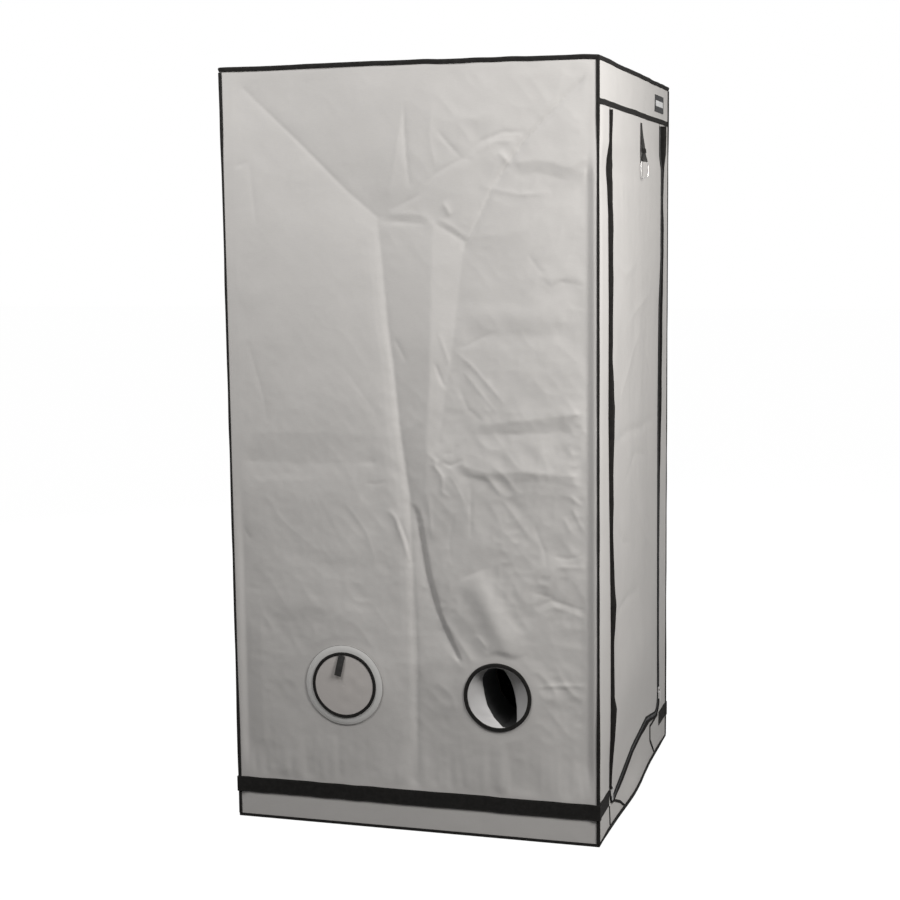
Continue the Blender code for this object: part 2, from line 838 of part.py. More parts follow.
def build_zip(door):
    """Both halves of the zip, and a slider with its pull on each side."""
    add("zip_frame_half", zip_half_shape(1), webbing_finish)
    carry(add("zip_door_half", zip_half_shape(-1), webbing_finish, pivot=door.location), door)
    for name, side, arc_top in (("left", -1, zip_arc_left), ("right", 1, zip_arc_right)):
        x = side * zip_half
        height = arc_top + slider_above_arc
        pivot = (x, -half_depth - pin_out, height)
        slider = add(f"zip_slider_{name}", slider_shape(x, height), metal_finish, pivot=pivot)
        carry(slider, door)
        pull = add(f"zip_pull_{name}", pull_shape(x, height), metal_finish, pivot=pivot)
        carry(pull, slider)


def strap_path():
    """The strap's middle line, seen from the side: down its back ply, round the ring, and up."""
    top = door_top - strap_below_header
    bend = strap_loop_radius + tape / 2
    back = gap + tape / 2
    middle = back + bend
    low = top - strap_length + bend
    loop = arc((middle, low), bend, math.pi, math.tau, small_steps)
    return [(back, top), *loop, (back + tape + strap_ply_gap, top)], (middle, low)


def build_tie(door):
    """The tie strap, folded over the top bar of its ring."""
    path, (ring_out, ring_top) = strap_path()
    half = strap_width / 2
    section = ((-tape / 2, -half), (tape / 2, -half), (tape / 2, half), (-tape / 2, half))
    shape = swept(path, section, lambda out, up, across: (strap_place + across, -half_depth - out, up))
    top = door_top - strap_below_header
    strap = add("tie_strap", shape, webbing_finish, pivot=(strap_place, -half_depth - gap, top))
    carry(strap, door)
    centre = (strap_place, ring_top - ring_height / 2)
    wire = circle(0.0, 0.0, ring_wire_radius, small_steps)
    path = rounded_rectangle(ring_width, ring_height, ring_corner_radius, centre)
    shape = swept(path, wire, lambda a, b, lift: (a, -half_depth - ring_out - lift, b), closed=True)
    pivot = (strap_place, -half_depth - ring_out, ring_top)
    carry(add("tie_ring", shape, metal_finish, pivot=pivot, smooth=True), strap)


def port_ring(radius, width, place):
    """A bound hem round a port, with softened edges."""
    inner = radius - width
    soft = intake_ring_thickness / 3
    low = gap
    high = gap + intake_ring_thickness
    profile = (
        (radius, low),
        (radius, high - soft),
        (radius - soft, high),
        (inner + soft, high),
        (inner, high - soft),
        (inner, low),
    )
    return turned(profile, place, port_steps)


def around(place, across, up):
    """A wall's placing function, moved to a port's centre."""
    return lambda a, b, out: place(across + a, up + b, out)


def sleeve_ring(share, radius, half_width_end, half_height_end, shift):
    """The outline of a sleeve part of the way along, from a circle to a drawn-in leaf."""
    points = []
    for step in range(port_steps):
        angle = math.tau * step / port_steps
        across = math.cos(angle)
        leaf = half_width_end * across * abs(across) + shift
        a = radius * across * (1 - share) + leaf * share
        b = (radius * (1 - share) + half_height_end * share) * math.sin(angle)
        points.append((a, b))
    return points


def intake_sleeve_shape():
    """The cloth sleeve inside the intake: round at the ring, and half drawn shut at its end."""
    place = around(on_left, intake_place, intake_height)
    radius = intake_hole - gap
    shape = bmesh.new()
    skins = []
    for inset in (0.0, cloth):
        rings = []
        for length_share, closing_share in zip(sleeve_length_shares, sleeve_closing_shares):
            ends = (throat_half_width - inset, throat_half_height - 2 * inset)
            outline = sleeve_ring(closing_share, radius - inset, *ends, throat_shift)
            depth = -sleeve_length * length_share
            rings.append([shape.verts.new(place(a, b, depth)) for a, b in outline])
        skins.append(rings)
    for rings in skins:
        for index in range(1, len(rings)):
            close_sides(shape, rings[index - 1], rings[index])
    for end in (0, -1):
        close_sides(shape, skins[0][end], skins[1][end])
    return shape


def build_ports():
    """The intake and the exhaust: a bound hem outside, and a sleeve inside."""
    intake = around(on_left, intake_place, intake_height)
    add("intake_ring", port_ring(intake_ring_radius, intake_ring_width, intake), webbing_finish, smooth=True)
    add("intake_sleeve", intake_sleeve_shape(), liner_finish, smooth=True)
    exhaust = around(on_back, exhaust_place, exhaust_height)
    ring = port_ring(exhaust_ring_radius, exhaust_ring_width, exhaust)
    add("exhaust_ring", ring, webbing_finish, smooth=True)
    outer = exhaust_hole - gap
    inner = outer - cloth
    end = -exhaust_sleeve_length
    profile = ((outer, 0.0), (outer, end), (inner, end), (inner, 0.0))
    add("exhaust_sleeve", turned(profile, exhaust, port_steps), liner_finish, smooth=True)


def build_vent():
    """The covered vent: a patch on the wall, a round cover on it, and the cover's pull tab."""
    place = around(on_left, vent_place, vent_height)
    patch_out = gap + cloth
    edge = vent_patch_radius
    bore = vent_patch_bore
    patch = ((edge, gap), (edge, patch_out), (bore, patch_out), (bore, gap))
    add("vent_patch", turned(patch, place, port_steps), patch_finish, smooth=True)
    back = patch_out + gap
    face = back + cloth
    rim = back + vent_rim_thickness
    inner = vent_cover_radius - vent_rim_width
    disc = prism(circle(0.0, 0.0, vent_cover_radius, port_steps), back, rim, place)
    dish = prism(circle(0.0, 0.0, inner, port_steps), face, rim + overrun, place)
    cover_pivot = place(0.0, -vent_cover_radius, rim)
    cover = add("vent_cover", joined(disc, [dish], "DIFFERENCE"), cover_finish, pivot=cover_pivot)
    top = inner - tab_below_rim
    tilt = Matrix.Rotation(tab_tilt, 2)
    side = tab_width / 2
    corners = ((-side, 0.0), (side, 0.0), (side, -tab_length), (-side, -tab_length))
    turned_corners = [tilt @ Vector(corner) for corner in corners]
    outline = [(tab_side + corner.x, top + corner.y) for corner in turned_corners]
    strip = prism(outline, face + gap, face + gap + tape, place)
    tab = add("vent_tab", strip, webbing_finish, pivot=place(tab_side, top, face + gap))
    carry(tab, cover)


def build_tray():
    """The open spill tray that lies on the floor sheet inside the base rails."""
    x = frame_x - corner_block / 2 - gap
    y = frame_y - corner_block / 2 - gap
    low = cloth + gap
    shape = slab((-x, -y, low), (x, y, low + tray_height))
    lid = max(shape.faces, key=lambda face: face.calc_center_median().z)
    bmesh.ops.inset_region(shape, faces=[lid], thickness=tray_wall, use_even_offset=True)
    moved = bmesh.ops.extrude_discrete_faces(shape, faces=[lid])["faces"]
    drop = Vector((0.0, 0.0, tray_wall - tray_height))
    bmesh.ops.translate(shape, verts=moved[0].verts[:], vec=drop)
    add("spill_tray", shape, liner_finish)


def build_tent():
    """Make every piece of the tent."""
    clear_scene()
    build_corners()
    build_rails()
    build_posts()
    build_bars()
    build_roof_and_floor()
    build_left_wall()
    build_plain_walls()
    build_front()
    build_bindings()
    build_belt()
    door = build_door((0.0, -half_depth, door_top))
    build_zip(door)
    build_tie(door)
    build_ports()
    build_vent()
    build_tray()


build_tent()
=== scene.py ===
"""Dress the indoor grow tent: cloth, bindings, zips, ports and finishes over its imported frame."""
import math

import bmesh
import bpy
import numpy as np
from mathutils import Matrix, Vector


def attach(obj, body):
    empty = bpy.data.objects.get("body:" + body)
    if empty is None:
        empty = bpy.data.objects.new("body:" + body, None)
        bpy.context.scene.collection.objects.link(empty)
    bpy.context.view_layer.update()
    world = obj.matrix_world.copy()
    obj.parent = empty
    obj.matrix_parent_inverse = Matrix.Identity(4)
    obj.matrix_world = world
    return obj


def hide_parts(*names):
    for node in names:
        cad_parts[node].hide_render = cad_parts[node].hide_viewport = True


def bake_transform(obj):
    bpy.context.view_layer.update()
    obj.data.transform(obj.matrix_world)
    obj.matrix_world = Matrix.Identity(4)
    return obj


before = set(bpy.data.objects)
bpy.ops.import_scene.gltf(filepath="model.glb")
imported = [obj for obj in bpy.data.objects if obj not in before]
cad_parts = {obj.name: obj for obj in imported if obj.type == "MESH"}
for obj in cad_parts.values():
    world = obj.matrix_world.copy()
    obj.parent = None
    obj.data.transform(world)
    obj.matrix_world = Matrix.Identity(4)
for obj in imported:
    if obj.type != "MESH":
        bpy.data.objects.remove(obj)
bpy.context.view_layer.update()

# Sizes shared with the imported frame, in metres
half = 0.5
height = 2.0
cloth = 0.0012
gap = 0.0003
wall_low = 0.0015
wall_high = 1.9985
panel_half = 0.4985
post_edge = 0.4695
header_low = 1.886
door_top = 1.8857
binding_leg = 0.009
zip_half = 0.36
zip_setback = 0.006
zip_top = 1.8797
zip_left = (0.030, 0.102)
zip_right = (0.050, 0.175)
sag_points = ((-0.059, 0.12875), (0.162, 0.150))
belt_low, belt_high, belt_thick = 0.070, 0.112, 0.0015
intake = (-0.232, 0.379)
intake_hole = 0.087
vent = (0.190, 0.386)
vent_bore = 0.066
patch_radius = 0.108
cover_radius = 0.0835
exhaust = (0.220, 1.740)
exhaust_hole = 0.108
# Where the photograph was taken from
stand = (-4.6055, -1.3717, 1.5745)
# How bright the floor looks to the camera, and how much of the white world lights the object
floor_glow = 0.985
world_fill = 0.15


def make_camera():
    """The photograph's camera. The object was pasted off centre, hence the small shift."""
    yaw, pitch, roll = (math.radians(a) for a in (15.358, 7.331, -0.462))
    forward = Vector((math.cos(yaw) * math.cos(pitch), math.sin(yaw) * math.cos(pitch), -math.sin(pitch)))
    right = Vector((math.sin(yaw), -math.cos(yaw), 0.0))
    up = right.cross(forward)
    across = right * math.cos(roll) + up * math.sin(roll)
    upright = up * math.cos(roll) - right * math.sin(roll)
    lens = bpy.data.cameras.new("camera")
    lens.lens = 67.536
    lens.sensor_width = 36.0
    lens.shift_x = -0.0556
    camera = bpy.data.objects.new("camera", lens)
    columns = Matrix((across, upright, -forward)).transposed()
    camera.matrix_world = Matrix.Translation(stand) @ columns.to_4x4()
    bpy.context.scene.collection.objects.link(camera)
    bpy.context.scene.camera = camera


make_camera()


# Materials
def add_node(tree, kind, inputs=(), **settings):
    """A node with its settings, its inputs linked where they are sockets and set where they are values."""
    made = tree.nodes.new(kind)
    for key, value in settings.items():
        setattr(made, key, value)
    for key, value in dict(inputs).items():
        if isinstance(value, bpy.types.NodeSocket):
            tree.links.new(value, made.inputs[key])
        else:
            made.inputs[key].default_value = value
    return made


def scaled(colour, times, plus=0.0):
    return tuple(c * times + plus for c in colour)


class Coat:
    """A Principled material with its node tree."""

    def __init__(self, name, colour, roughness, metallic=0.0, sheen=0.0, specular=0.5, coat=0.0):
        self.material = bpy.data.materials.new(name)
        self.material.use_nodes = True
        self.tree = self.material.node_tree
        self.shader = self.tree.nodes["Principled BSDF"]
        self.set("Base Color", (*colour, 1.0))
        self.set("Roughness", roughness)
        self.set("Metallic", metallic)
        self.set("Sheen Weight", sheen)
        self.set("Sheen Roughness", 0.5)
        self.set("Specular IOR Level", specular)
        self.set("Coat Weight", coat)
        self.height = None

    def set(self, socket, value):
        self.shader.inputs[socket].default_value = value

    def node(self, kind, inputs=(), **settings):
        return add_node(self.tree, kind, inputs, **settings)

    def math(self, operation, first, second=0.0, third=0.0):
        return self.node(
            "ShaderNodeMath", {0: first, 1: second, 2: third}, operation=operation
        ).outputs[0]

    def coords(self, kind="UV"):
        return self.node("ShaderNodeTexCoord").outputs[kind]

    def noise(self, where, scale, detail=3.0, rough=0.55, distortion=0.0):
        made = self.node(
            "ShaderNodeTexNoise",
            {"Vector": where, "Scale": scale, "Detail": detail, "Roughness": rough, "Distortion": distortion},
        )
        return made.outputs["Fac"]

    def spread(self, value, low, high, start=0.0, end=1.0):
        made = self.node(
            "ShaderNodeMapRange",
            {"Value": value, "From Min": start, "From Max": end, "To Min": low, "To Max": high},
        )
        return made.outputs["Result"]

    def tint(self, factor, under, over):
        """A colour between two, each of them a colour or a socket."""
        under, over = (end if isinstance(end, bpy.types.NodeSocket) else (*end, 1.0) for end in (under, over))
        inputs = {"Factor": factor, "A": under, "B": over}
        return self.node("ShaderNodeMix", inputs, data_type="RGBA").outputs["Result"]

    def link(self, socket, value):
        self.tree.links.new(value, self.shader.inputs[socket])

    def bump(self, level, distance, strength=1.0):
        """Add a bump layer, on top of those already there."""
        inputs = {"Height": level, "Distance": distance, "Strength": strength}
        if self.height is not None:
            inputs["Normal"] = self.height
        self.height = self.node("ShaderNodeBump", inputs).outputs["Normal"]
        self.link("Normal", self.height)

    def split(self, vector):
        made = self.node("ShaderNodeSeparateXYZ", {"Vector": vector})
        return made.outputs["X"], made.outputs["Y"]

    def waves(self, value, period):
        """A sine from 0 to 1 along a coordinate."""
        turn = self.math("MULTIPLY", value, math.tau / period)
        return self.math("MULTIPLY_ADD", self.math("SINE", turn), 0.5, 0.5)


def woven(name, colour, roughness, thread, weave=0.00006, crumple=0.0006, sheen=0.08, mottle=0.05):
    """Plain-woven cloth: threads both ways, fine crumples, mottled colour and roughness."""
    coat = Coat(name, colour, roughness, sheen=sheen, specular=0.30)
    where = coat.coords("UV")
    across, up = coat.split(where)
    over = coat.math("MULTIPLY", coat.waves(across, thread), coat.waves(up, thread))
    shade = coat.noise(where, 7.0, detail=5.0, rough=0.6)
    slubs = coat.node("ShaderNodeMapping", {"Vector": where, "Scale": (60.0, 520.0, 1.0)}).outputs["Vector"]
    fine = coat.noise(slubs, 1.0, detail=3.0)
    mixed = coat.math("MULTIPLY_ADD", fine, 0.35, coat.math("MULTIPLY", shade, 0.65))
    dark, light = scaled(colour, 1.0 - mottle), scaled(colour, 1.0 + mottle)
    coat.link("Base Color", coat.tint(coat.spread(mixed, 0.0, 1.0, 0.30, 0.70), dark, light))
    coat.link("Roughness", coat.spread(shade, roughness - 0.06, roughness + 0.05, 0.3, 0.7))
    coat.bump(coat.noise(where, 15.0, detail=3.0, rough=0.5), crumple * 2, 0.5)
    coat.bump(coat.noise(where, 70.0, detail=2.0), crumple * 0.3, 0.5)
    coat.bump(over, weave, 0.9)
    return coat.material


def liner(name, colour, roughness):
    """Reflective film with pressed diamonds."""
    coat = Coat(name, colour, roughness, metallic=0.75, specular=0.6)
    where = coat.coords("UV")
    across, up = coat.split(where)
    rising = coat.waves(coat.math("ADD", across, up), 0.009)
    falling = coat.waves(coat.math("SUBTRACT", across, up), 0.009)
    press = coat.math("MULTIPLY", rising, falling)
    cloud = coat.noise(where, 9.0, detail=4.0)
    coat.link("Roughness", coat.spread(cloud, roughness - 0.08, roughness + 0.10, 0.3, 0.7))
    coat.link("Base Color", coat.tint(cloud, scaled(colour, 0.9), colour))
    coat.bump(coat.noise(where, 22.0, detail=4.0, distortion=0.5), 0.003, 0.6)
    coat.bump(press, 0.0009, 0.7)
    return coat.material


def tape_coat(name, colour, rib, rows, thread_colour, pitch=0.0042):
    """Woven tape or webbing: ribs along it, cross threads, and stitches along its rows."""
    coat = Coat(name, colour, 0.88, specular=0.04)
    where = coat.coords("UV")
    along, across = coat.split(where)
    ribs = coat.waves(across, rib)
    slant = coat.waves(coat.math("ADD", along, coat.math("MULTIPLY", across, 0.7)), rib * 0.9)
    lay = coat.math("MULTIPLY_ADD", ribs, 0.6, coat.math("MULTIPLY", slant, 0.4))
    stitch = None
    for row in rows:
        near = coat.math("LESS_THAN", coat.math("ABSOLUTE", coat.math("SUBTRACT", across, row)), 0.00045)
        beat = coat.math("LESS_THAN", coat.math("FRACT", coat.math("DIVIDE", along, pitch)), 0.68)
        dash = coat.math("MULTIPLY", near, beat)
        stitch = dash if stitch is None else coat.math("MAXIMUM", stitch, dash)
    dust = coat.noise(where, 60.0, detail=4.0, rough=0.65)
    body = coat.tint(coat.spread(dust, 0.0, 1.0, 0.35, 0.75), colour, scaled(colour, 1.6, 0.002))
    coat.link("Base Color", coat.tint(stitch, body, thread_colour))
    coat.link("Roughness", coat.spread(dust, 0.80, 0.95, 0.3, 0.7))
    coat.bump(lay, 0.00025, 0.9)
    coat.bump(dust, 0.0008, 0.35)
    coat.bump(stitch, 0.0005, 0.9)
    return coat.material


def moulded(name, colour):
    """Moulded black plastic with a fine grain."""
    coat = Coat(name, colour, 0.5, specular=0.45)
    where = coat.coords("Object")
    grain = coat.noise(where, 1600.0, detail=2.0)
    worn = coat.noise(where, 60.0, detail=4.0)
    coat.link("Base Color", coat.tint(worn, colour, scaled(colour, 1.8, 0.003)))
    coat.link("Roughness", coat.spread(worn, 0.42, 0.62, 0.3, 0.7))
    coat.bump(grain, 0.0002, 0.35)
    return coat.material


def coated_steel(name, colour):
    """Powder-coated steel: orange peel, faint handling marks."""
    coat = Coat(name, colour, 0.34, specular=0.5, coat=0.15)
    where = coat.coords("Object")
    peel = coat.noise(where, 900.0, detail=2.0)
    marks = coat.noise(where, 34.0, detail=6.0, rough=0.7)
    coat.link("Base Color", coat.tint(coat.spread(marks, 0.0, 1.0, 0.42, 0.6), scaled(colour, 0.86), colour))
    coat.link("Roughness", coat.spread(marks, 0.28, 0.44, 0.3, 0.7))
    coat.bump(peel, 0.0002, 0.4)
    return coat.material


def bright_metal(name, colour, roughness):
    """Plated metal with fine brushing and worn spots."""
    coat = Coat(name, colour, roughness, metallic=1.0)
    where = coat.coords("Object")
    long_way = coat.node("ShaderNodeMapping", {"Vector": where, "Scale": (2400.0, 2400.0, 90.0)}).outputs["Vector"]
    brush = coat.noise(long_way, 1.0, detail=2.0)
    worn = coat.noise(where, 260.0, detail=4.0)
    coat.link("Base Color", coat.tint(worn, scaled(colour, 0.72), colour))
    coat.link("Roughness", coat.spread(worn, roughness - 0.08, roughness + 0.16, 0.3, 0.7))
    coat.bump(brush, 0.00008, 0.5)
    return coat.material


white = (0.610, 0.590, 0.570)
canvas = woven("tent_canvas", white, 0.80, 0.0024)
silver = liner("silver_liner", (0.74, 0.75, 0.77), 0.30)
black = (0.0190, 0.0182, 0.0174)
thread = (0.050, 0.048, 0.046)
binding = tape_coat("binding_tape", black, 0.0016, (0.0,), thread)
webbing = tape_coat("belt_webbing", black, 0.0028, (-0.018, 0.018), thread)
strap_web = tape_coat("strap_webbing", (0.042, 0.041, 0.040), 0.0022, (-0.008, 0.008), (0.075, 0.073, 0.071))
zip_tape = tape_coat("zip_tape", (0.0190, 0.0188, 0.0186), 0.0013, (0.0,), (0.045, 0.045, 0.045))
teeth_coat = moulded("zip_teeth", (0.0150, 0.0150, 0.0155))
patch_cloth = woven("patch_cloth", (0.700, 0.690, 0.670), 0.74, 0.0024, crumple=0.0003)
cover_cloth = woven("cover_cloth", (0.600, 0.565, 0.540), 0.82, 0.0024, crumple=0.0004)
sleeve_cloth = woven("sleeve_cloth", (0.520, 0.510, 0.505), 0.72, 0.0022, crumple=0.0008)
# Painted shade: near-black cloth for the sleeve's collapsed part past the intake's mouth, standing for the dark
# inside of the tent
sleeve_painted_shade = woven("sleeve_inside_painted_shade", (0.014, 0.014, 0.014), 0.75, 0.0022, crumple=0.0008)
tray_coat = woven("tray_cloth", (0.035, 0.035, 0.038), 0.55, 0.0022, crumple=0.0008)
plastic = moulded("corner_plastic", (0.022, 0.022, 0.024))
steel = coated_steel("pole_coating", (0.74, 0.74, 0.72))
zip_metal = bright_metal("zip_metal", (0.62, 0.61, 0.60), 0.30)
ring_metal = bright_metal("ring_metal", (0.56, 0.55, 0.54), 0.28)
seam_thread = woven("seam_thread", (0.300, 0.290, 0.280), 0.8, 0.0012, crumple=0.0001)
net_thread = woven("net_thread", (0.015, 0.015, 0.016), 0.6, 0.0016, crumple=0.0002)
label_dark = woven("label_cloth", (0.010, 0.010, 0.011), 0.8, 0.0012, crumple=0.0001)
label_pale = woven("label_stripe", (0.74, 0.74, 0.74), 0.7, 0.0012, crumple=0.0001)


# Number helpers
def smooth(value, start, end):
    """A soft step from 0 at start to 1 at end."""
    share = np.clip((value - start) / (end - start), 0.0, 1.0)
    return share * share * (3.0 - 2.0 * share)


def rough(across, up, cell, seed, stretch=1.0):
    """Soft noise from -1 to 1, on cells of a given size."""
    table = np.random.default_rng(seed).uniform(-1.0, 1.0, (64, 64))
    a = across / cell
    b = up / (cell * stretch)
    i = np.floor(a).astype(int)
    j = np.floor(b).astype(int)
    fa = a - i
    fb = b - j
    fa = fa * fa * (3.0 - 2.0 * fa)
    fb = fb * fb * (3.0 - 2.0 * fb)

    def pick(m, n):
        return table[(i + m) % 64, (j + n) % 64]

    low = pick(0, 0) * (1.0 - fa) + pick(1, 0) * fa
    high = pick(0, 1) * (1.0 - fa) + pick(1, 1) * fa
    return low * (1.0 - fb) + high * fb


def line_distance(across, up, points):
    """How far each point is from a line of points, and its share of the way along."""
    spots = np.array(points, float)
    runs = np.hypot(*(spots[1:, :2] - spots[:-1, :2]).T)
    total = runs.sum()
    best = np.full(across.shape, 9.0)
    share = np.zeros(across.shape)
    done = 0.0
    for start, end, run in zip(spots[:-1], spots[1:], runs):
        da, db = (end[:2] - start[:2]) / run
        along = np.clip((across - start[0]) * da + (up - start[1]) * db, 0.0, run)
        far = np.hypot(across - start[0] - along * da, up - start[1] - along * db)
        nearer = far < best
        best = np.where(nearer, far, best)
        share = np.where(nearer, (done + along) / total, share)
        done += run
    return best, share


def ridge(across, up, rise, width, points, sharp=False):
    """A crease along a line: out of the cloth where rise is positive, fading at both ends."""
    far, share = line_distance(across, up, points)
    ends = np.clip(4.0 * share * (1.0 - share), 0.0, 1.0) ** 0.6
    shape = np.exp(-far / width) if sharp else np.exp(-((far / width) ** 2))
    return rise * ends * shape


def membrane(held, levels, rounds=160):
    """A stretched skin: held points keep their level, and each other lies at its neighbours' mean."""
    rows, columns = np.nonzero(held)
    skin = None
    for step in (8, 4, 2, 1):
        shape = tuple((n - 1) // step + 1 for n in held.shape)
        total = np.zeros(shape)
        count = np.zeros(shape)
        spot = ((rows + step // 2) // step, (columns + step // 2) // step)
        np.add.at(total, spot, levels[rows, columns])
        np.add.at(count, spot, 1.0)
        fixed = count > 0
        mean = total / np.maximum(count, 1.0)
        if skin is None:
            skin = np.zeros(shape)
        else:
            wide = np.zeros(shape)
            wide[::2, ::2] = skin
            wide[1::2, ::2] = (skin[:-1] + skin[1:]) / 2
            wide[:, 1::2] = (wide[:, :-2:2] + wide[:, 2::2]) / 2
            skin = wide
        skin[fixed] = mean[fixed]
        for _ in range(rounds):
            inner = (skin[:-2, 1:-1] + skin[2:, 1:-1] + skin[1:-1, :-2] + skin[1:-1, 2:]) / 4
            skin[1:-1, 1:-1] = inner
            skin[fixed] = mean[fixed]
    return skin


def blurred(field, rounds=1):
    """Even out a grid a little."""
    for _ in range(rounds):
        inner = (field[:-2, 1:-1] + field[2:, 1:-1] + field[1:-1, :-2] + field[1:-1, 2:]) / 4
        field = field.copy()
        field[1:-1, 1:-1] = (field[1:-1, 1:-1] + inner) / 2
    return field


# Mesh helpers
def stacked(*parts):
    """Arrays of matching shapes, side by side along a new last axis."""
    return np.stack(np.broadcast_arrays(*parts), axis=-1)


# Places on each side of the tent: two coordinates along it, and how far out
def on_left(a, b, out):
    return stacked(-half - out, a, b)


def on_right(a, b, out):
    return stacked(half + out, a, b)


def on_front(a, b, out):
    return stacked(a, -half - out, b)


def on_back(a, b, out):
    return stacked(a, half + out, b)


def on_plan(a, b, level):
    return stacked(a, b, level)


def distances(points):
    """How far along its line each point lies."""
    return np.concatenate([[0.0], np.cumsum(np.linalg.norm(np.diff(points, axis=0), axis=1))])


def ring_quads(index, closed=False):
    """Quads between neighbouring rings of points, and from the last to the first where closed."""
    rows = np.concatenate([index, index[:1]]) if closed else index
    near, far = rows[:-1], rows[1:]
    return stacked(near, np.roll(near, -1, axis=1), np.roll(far, -1, axis=1), far).reshape(-1, 4)


def tube(index, closed=False):
    """The faces of a tube of rings, capped at its ends unless it is closed."""
    faces = ring_quads(index, closed).tolist()
    return faces if closed else faces + [index[0].tolist(), index[-1][::-1].tolist()]


def rim(ring, total):
    """Quads from a ring of the outer skin to the same ring of the inner one, total points on."""
    after = np.roll(ring, -1)
    return stacked(ring, after, after + total, ring + total)


def two_skins(index, ends=(0, -1)):
    """The faces of an outer skin of rings, of the inner one, and of the rims that join them."""
    side = ring_quads(index)
    return np.concatenate([side, side[:, ::-1] + index.size] + [rim(index[end], index.size) for end in ends])


def piece(name, points, faces, coats, uvs=None, slots=None, body="root", sharp=40.0):
    """A mesh piece that rides on a body."""
    mesh = bpy.data.meshes.new(name)
    mesh.from_pydata([tuple(p) for p in np.asarray(points).tolist()], [], [tuple(f) for f in faces])
    for coat in coats:
        mesh.materials.append(coat)
    if slots is not None:
        mesh.polygons.foreach_set("material_index", np.asarray(slots, np.int32))
    if uvs is not None:
        layer = mesh.uv_layers.new(name="UVMap")
        order = np.zeros(len(mesh.loops), np.int32)
        mesh.loops.foreach_get("vertex_index", order)
        layer.data.foreach_set("uv", np.asarray(uvs, np.float32)[order].ravel())
    work = bmesh.new()
    work.from_mesh(mesh)
    loose = [v for v in work.verts if not v.link_faces]
    bmesh.ops.delete(work, geom=loose, context="VERTS")
    bmesh.ops.recalc_face_normals(work, faces=work.faces)
    work.to_mesh(mesh)
    work.free()
    mesh.shade_smooth()
    mesh.set_sharp_from_angle(angle=math.radians(sharp))
    made = bpy.data.objects.new(name, mesh)
    bpy.context.scene.collection.objects.link(made)
    if body is not None:
        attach(made, body)
    return made


def grid(start, end, low, high, columns, rows):
    """Even points over a rectangle, rows by columns."""
    return np.meshgrid(np.linspace(start, end, columns + 1), np.linspace(low, high, rows + 1))


def panel(name, across, up, out, place, coats, thick=cloth, hole=None, body="root"):
    """A cloth panel of two skins, from grids of places and how far each stands out."""
    if hole is not None:
        a0, b0, radius = hole
        reach = np.hypot(across - a0, up - b0)
        cell = np.abs(across[0, 1] - across[0, 0])
        pull = np.where(np.abs(reach - radius) < cell * 0.55, radius / np.maximum(reach, 1e-9), 1.0)
        across = a0 + (across - a0) * pull
        up = b0 + (up - b0) * pull
    rows, columns = across.shape
    index = np.arange(rows * columns).reshape(rows, columns)
    quads = np.stack([index[:-1, :-1], index[:-1, 1:], index[1:, 1:], index[1:, :-1]], axis=-1).reshape(-1, 4)
    if hole is not None:
        a = across.ravel()[quads].mean(axis=1)
        b = up.ravel()[quads].mean(axis=1)
        quads = quads[np.hypot(a - hole[0], b - hole[1]) > hole[2] * 0.999]
    outer = place(across, up, out).reshape(-1, 3)
    flat = np.stack([across, up], axis=-1).reshape(-1, 2)
    inner = place(across, up, out - thick).reshape(-1, 3)
    count = rows * columns
    pairs = np.concatenate([quads[:, [i, (i + 1) % 4]] for i in range(4)])
    keys = pairs[:, 0].astype(np.int64) * count + pairs[:, 1]
    back = pairs[:, 1].astype(np.int64) * count + pairs[:, 0]
    rim = pairs[~np.isin(keys, back)]
    sides = np.stack([rim[:, 1], rim[:, 0], rim[:, 0] + count, rim[:, 1] + count], axis=-1)
    faces = np.concatenate([quads, quads[:, ::-1] + count, sides])
    slots = np.concatenate([np.zeros(len(quads)), np.ones(len(quads)), np.zeros(len(sides))])
    return piece(
        name, np.concatenate([outer, inner]), faces.tolist(), coats, np.concatenate([flat, flat]),
        slots if len(coats) > 1 else None, body, sharp=55.0,
    )


def finer(points, spacing, closed=False):
    """A path with extra points, so that none are far apart."""
    spots = [np.array(p, float) for p in points]
    pairs = list(zip(spots, spots[1:] + ([spots[0]] if closed else [])))
    if not closed:
        pairs = pairs[: len(spots) - 1]
    made = []
    for start, end in pairs:
        count = max(1, int(round(np.linalg.norm(end - start) / spacing)))
        made.extend(start + (end - start) * k / count for k in range(count))
    if not closed:
        made.append(spots[-1])
    return np.array(made)


def mitres(path, closed):
    """Which way and how far an offset moves each point of a flat path, to the right of its travel."""
    after = np.roll(path, -1, axis=0) - path
    after /= np.maximum(np.linalg.norm(after, axis=1, keepdims=True), 1e-12)
    before = np.roll(after, 1, axis=0)
    if not closed:
        before[0] = after[0]
        after[-1] = before[-1]
    first = np.stack([before[:, 1], -before[:, 0]], axis=-1)
    last = np.stack([after[:, 1], -after[:, 0]], axis=-1)
    return (first + last) / (1.0 + (first * last).sum(axis=1, keepdims=True))


